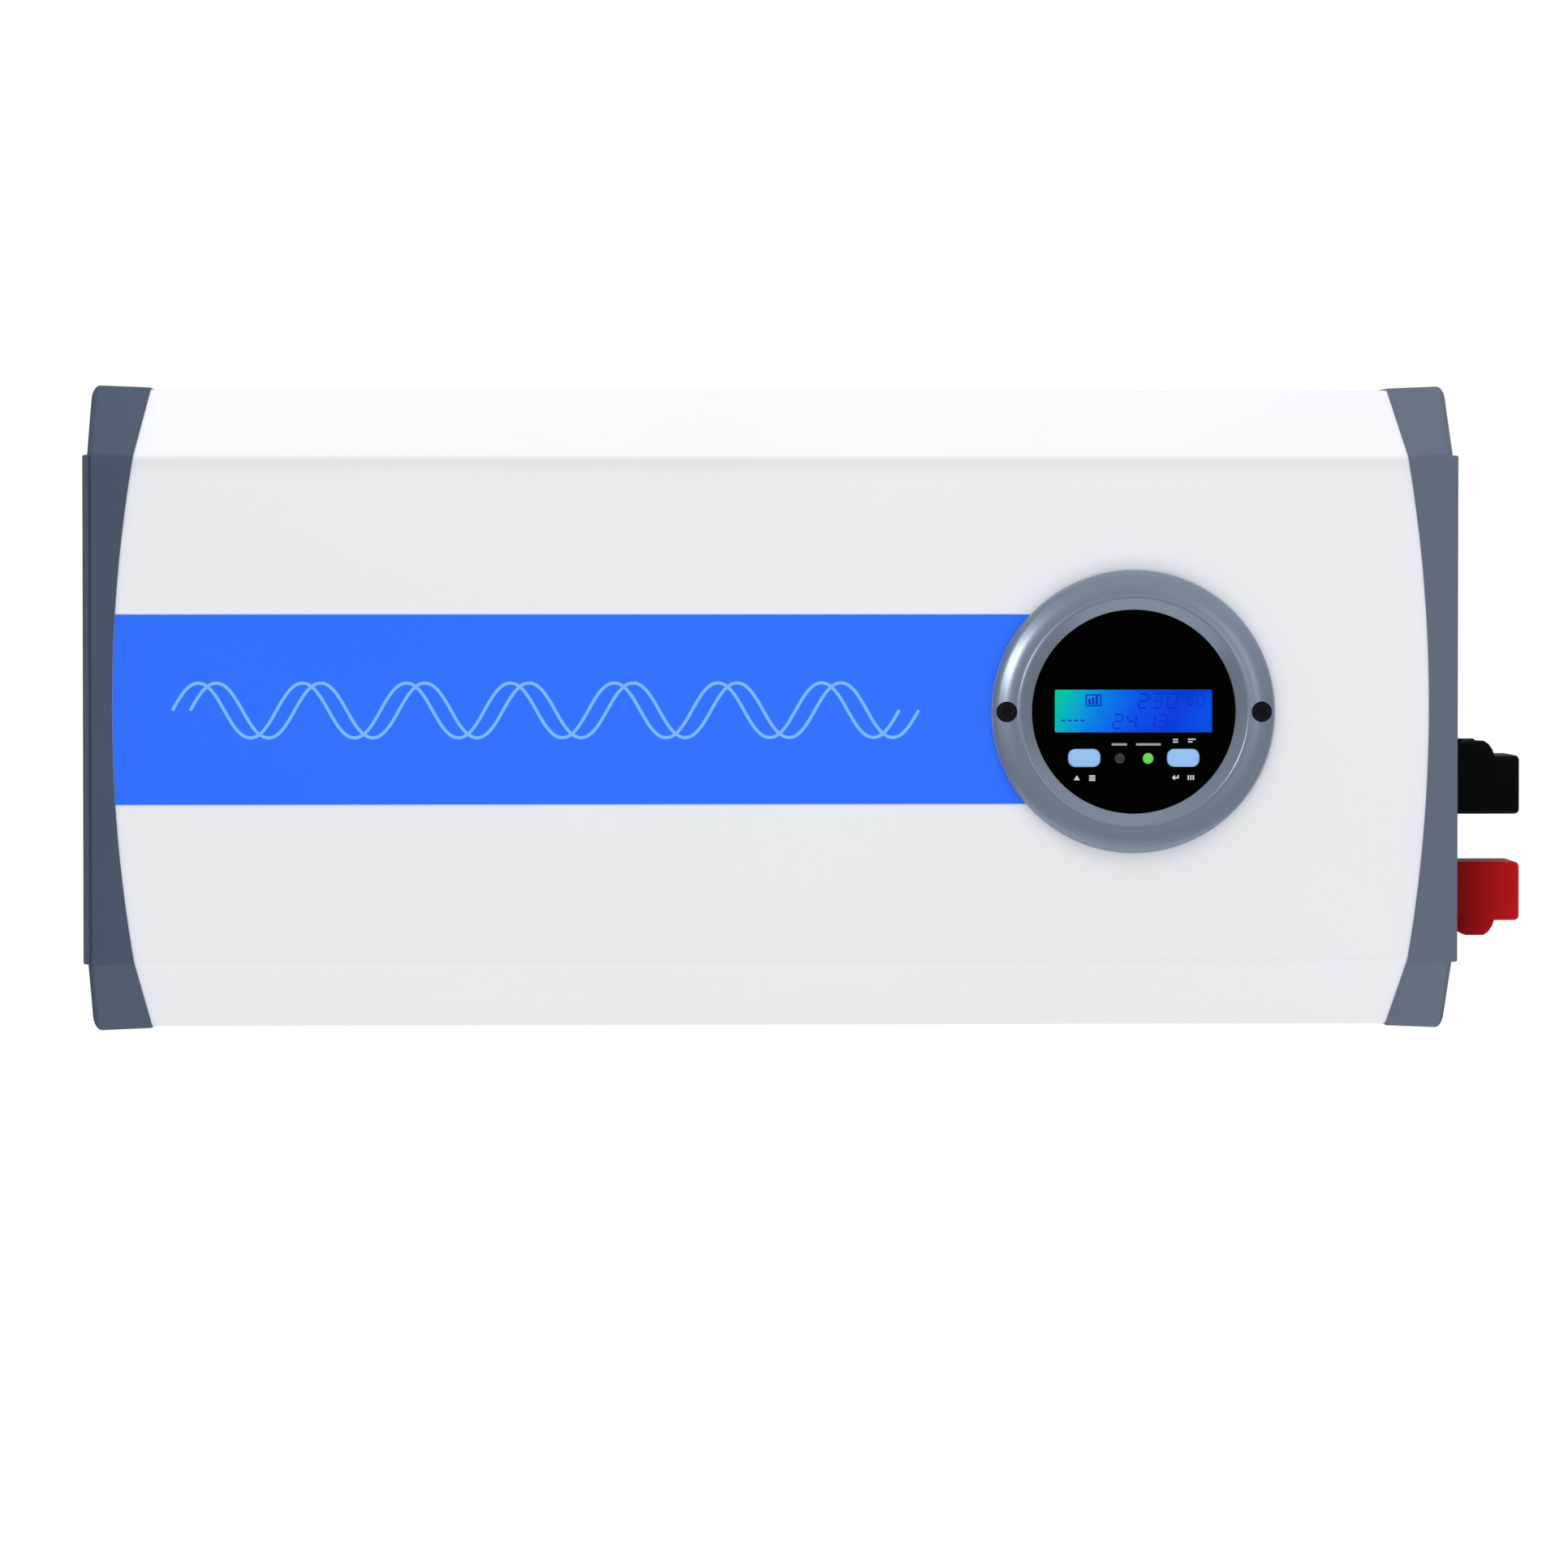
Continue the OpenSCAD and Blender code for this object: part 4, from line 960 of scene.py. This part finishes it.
# Bevel widths in millimetres, where they aren't the usual one.
EDGE = 0.2
EDGES = {
    "front_shell": 0.25, "heat_sink_base": 0.35, "front_label": 0.06, "display_window": 0.12,
    "lcd_lens": 0.15, "lcd_glass": 0.0, "negative_base": 0.35, "positive_base": 0.35,
    "ac_socket_upper": 0.6, "ac_socket_lower": 0.6, "negative_nuts": 0.35, "positive_nuts": 0.35,
    "power_rocker": 0.5, "rocker_switch_body": 0.4, "main_board": 0.1, "control_board": 0.1,
    "display_board": 0.1, "tact_switches": 0.1, "ac_terminal_screws": 0.15, "socket_earth_clips": 0.15,
    "transformer_cores": 0.8, "transformer_windings": 1.2, "capacitors": 1.4, "filter_chokes": 2.0,
    "board_components": 0.6}
# Nodes whose bevels may overlap without harm.
FREE_BEVELS = {"front_label", "display_window", "transformer_cores", "transformer_windings"}
REPLACED = {"left_end_cap", "right_end_cap", "display_bezel", "select_button", "enter_button", "fault_lamp",
            "working_lamp", "fan_rotor", "fan_guard", "negative_stud", "positive_stud", "negative_cover",
            "positive_cover"}


def finish_node(node):
    """Gives a CAD node its finish, softened edges and smooth curved faces."""
    obj = cad[node]
    mesh = obj.data
    mesh.materials.clear()
    mesh.materials.append(M[slots[node]])
    for name in ("custom_normal", "sharp_edge"):
        if mesh.attributes.get(name):
            mesh.attributes.remove(mesh.attributes[name])
    mesh.polygons.foreach_set("use_smooth", [True] * len(mesh.polygons))
    weld = obj.modifiers.new("Weld", "WELD")
    weld.merge_threshold = 1e-6
    flat = obj.modifiers.new("Flat", "DECIMATE")
    flat.decimate_type = "DISSOLVE"
    flat.angle_limit = math.radians(0.4)
    width = EDGES.get(node, EDGE)
    if width:
        bevel = obj.modifiers.new("Edges", "BEVEL")
        bevel.limit_method = "ANGLE"
        bevel.angle_limit = math.radians(30)
        bevel.width = width * MM
        bevel.segments = 2
        bevel.harden_normals = True
        bevel.use_clamp_overlap = node not in FREE_BEVELS


for node in cad:
    if node not in REPLACED:
        finish_node(node)

# ---------- light, floor and camera ----------

# Levels of the world from straight down (0) to straight up (1), for matt and for glossy faces.
MATT_LEVELS = ((0.0, 1.42), (0.36, 1.04), (0.5, 0.585), (1.0, 0.88))
GLOSS_LEVELS = ((0.0, 0.10), (0.30, 0.10), (0.56, 0.12), (0.72, 0.34), (1.0, 0.42))


def world():
    sky = bpy.data.worlds.new("studio")
    scene.world = sky
    sky.use_nodes = True
    tree = sky.node_tree
    tree.nodes.clear()
    new, link = tree.nodes.new, tree.links.new
    out = new("ShaderNodeOutputWorld")
    path = new("ShaderNodeLightPath")
    place = new("ShaderNodeTexCoord")
    split = new("ShaderNodeSeparateXYZ")
    link(place.outputs["Generated"], split.inputs["Vector"])
    height = map_range(tree, split.outputs["Z"], 0, 1, -1, 1)
    matt_stops = [(position, (level, level * 1.005, level * 1.015, 1)) for position, level in MATT_LEVELS]
    gloss_stops = [(position, (level, level, level * 1.03, 1)) for position, level in GLOSS_LEVELS]
    matt = new("ShaderNodeBackground")
    link(colour_ramp(tree, height, matt_stops), matt.inputs["Color"])
    gloss = new("ShaderNodeBackground")
    link(colour_ramp(tree, height, gloss_stops), gloss.inputs["Color"])
    link(map_range(tree, split.outputs["X"], 0.6, 1.9, -0.6, 0.6), gloss.inputs["Strength"])
    seen = new("ShaderNodeBackground")
    seen.inputs["Color"].default_value = (1, 1, 1, 1)
    first = new("ShaderNodeMixShader")
    link(path.outputs["Is Glossy Ray"], first.inputs["Fac"])
    link(matt.outputs["Background"], first.inputs[1])
    link(gloss.outputs["Background"], first.inputs[2])
    second = new("ShaderNodeMixShader")
    link(path.outputs["Is Camera Ray"], second.inputs["Fac"])
    link(first.outputs["Shader"], second.inputs[1])
    link(seen.outputs["Background"], second.inputs[2])
    link(second.outputs["Shader"], out.inputs["Surface"])


def area(name, size, power, place, aim, mirrored=True, only=None):
    """A rectangular light that the camera doesn't see. With only, just that object mirrors it."""
    light = bpy.data.lights.new(name, "AREA")
    light.shape = "RECTANGLE"
    light.size, light.size_y = size
    light.energy = power
    obj = bpy.data.objects.new(name, light)
    scene.collection.objects.link(obj)
    obj.location = place
    obj.visible_camera = False
    obj.visible_glossy = mirrored
    if only:
        obj.visible_diffuse = False
        obj.light_linking.receiver_collection = bpy.data.collections.new(name + "_only")
        obj.light_linking.receiver_collection.objects.link(only)
    obj.rotation_mode = "QUATERNION"
    obj.rotation_quaternion = (Vector(aim) - Vector(place)).to_track_quat("-Z", "Y")


MIDDLE = (0, -0.06, 0)
RING_SPOT = (DISPLAY_X, FRONT, 0)
world()
area("overhead", (2.4, 0.9), 25, (-0.3, -0.75, 1.8), MIDDLE, mirrored=False)
area("under", (1.3, 0.12), 1.2, (0.15, -0.38, -0.47), (0.15, -0.3799, 0.5), mirrored=False)
area("right_sheen", (0.5, 0.5), 1.9, (0.85, -1.95, 0.2), RING_SPOT, only=bezel)
area("left_glint", (0.22, 0.22), 11, (-0.83, -1.83, 0.42), RING_SPOT, only=bezel)

FLOOR_RADIUS = 0.62
FLOOR_RINGS = 6
FLOOR_PLACE = (0, -0.06, -0.5)
floor_profile = [(FLOOR_RADIUS * ring / FLOOR_RINGS, 0.0) for ring in range(FLOOR_RINGS + 1)]
floor = new_object("floor", lathe(floor_profile, closed=False), Matrix.Identity(4))
floor.location = FLOOR_PLACE
floor.data.materials.append(M["floor_white"])
floor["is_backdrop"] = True

DISTANCE = 2.2
AZIMUTH = math.radians(-1.75)
ELEVATION = math.radians(1.35)
SENSOR = 36
# The picture is this wide at the distance of the front, in metres.
VIEW_WIDTH = 0.56195
camera = bpy.data.cameras.new("camera")
camera.sensor_width = SENSOR
camera.lens = SENSOR * DISTANCE / VIEW_WIDTH
camera.shift_x = 0.00725
camera.shift_y = -0.04762
camera.clip_start, camera.clip_end = 0.05, 50
eye = bpy.data.objects.new("camera", camera)
scene.collection.objects.link(eye)
level = math.cos(ELEVATION)
back = Vector((math.sin(AZIMUTH) * level, -math.cos(AZIMUTH) * level, math.sin(ELEVATION)))
eye.location = Vector((0, FRONT, 0)) + back * DISTANCE
eye.rotation_mode = "QUATERNION"
eye.rotation_quaternion = (-back).to_track_quat("-Z", "Y")
scene.camera = eye

bounds_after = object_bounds()
sizes = {"frame": [list(v) for v in bounds_before], "visual": [list(v) for v in bounds_after]}
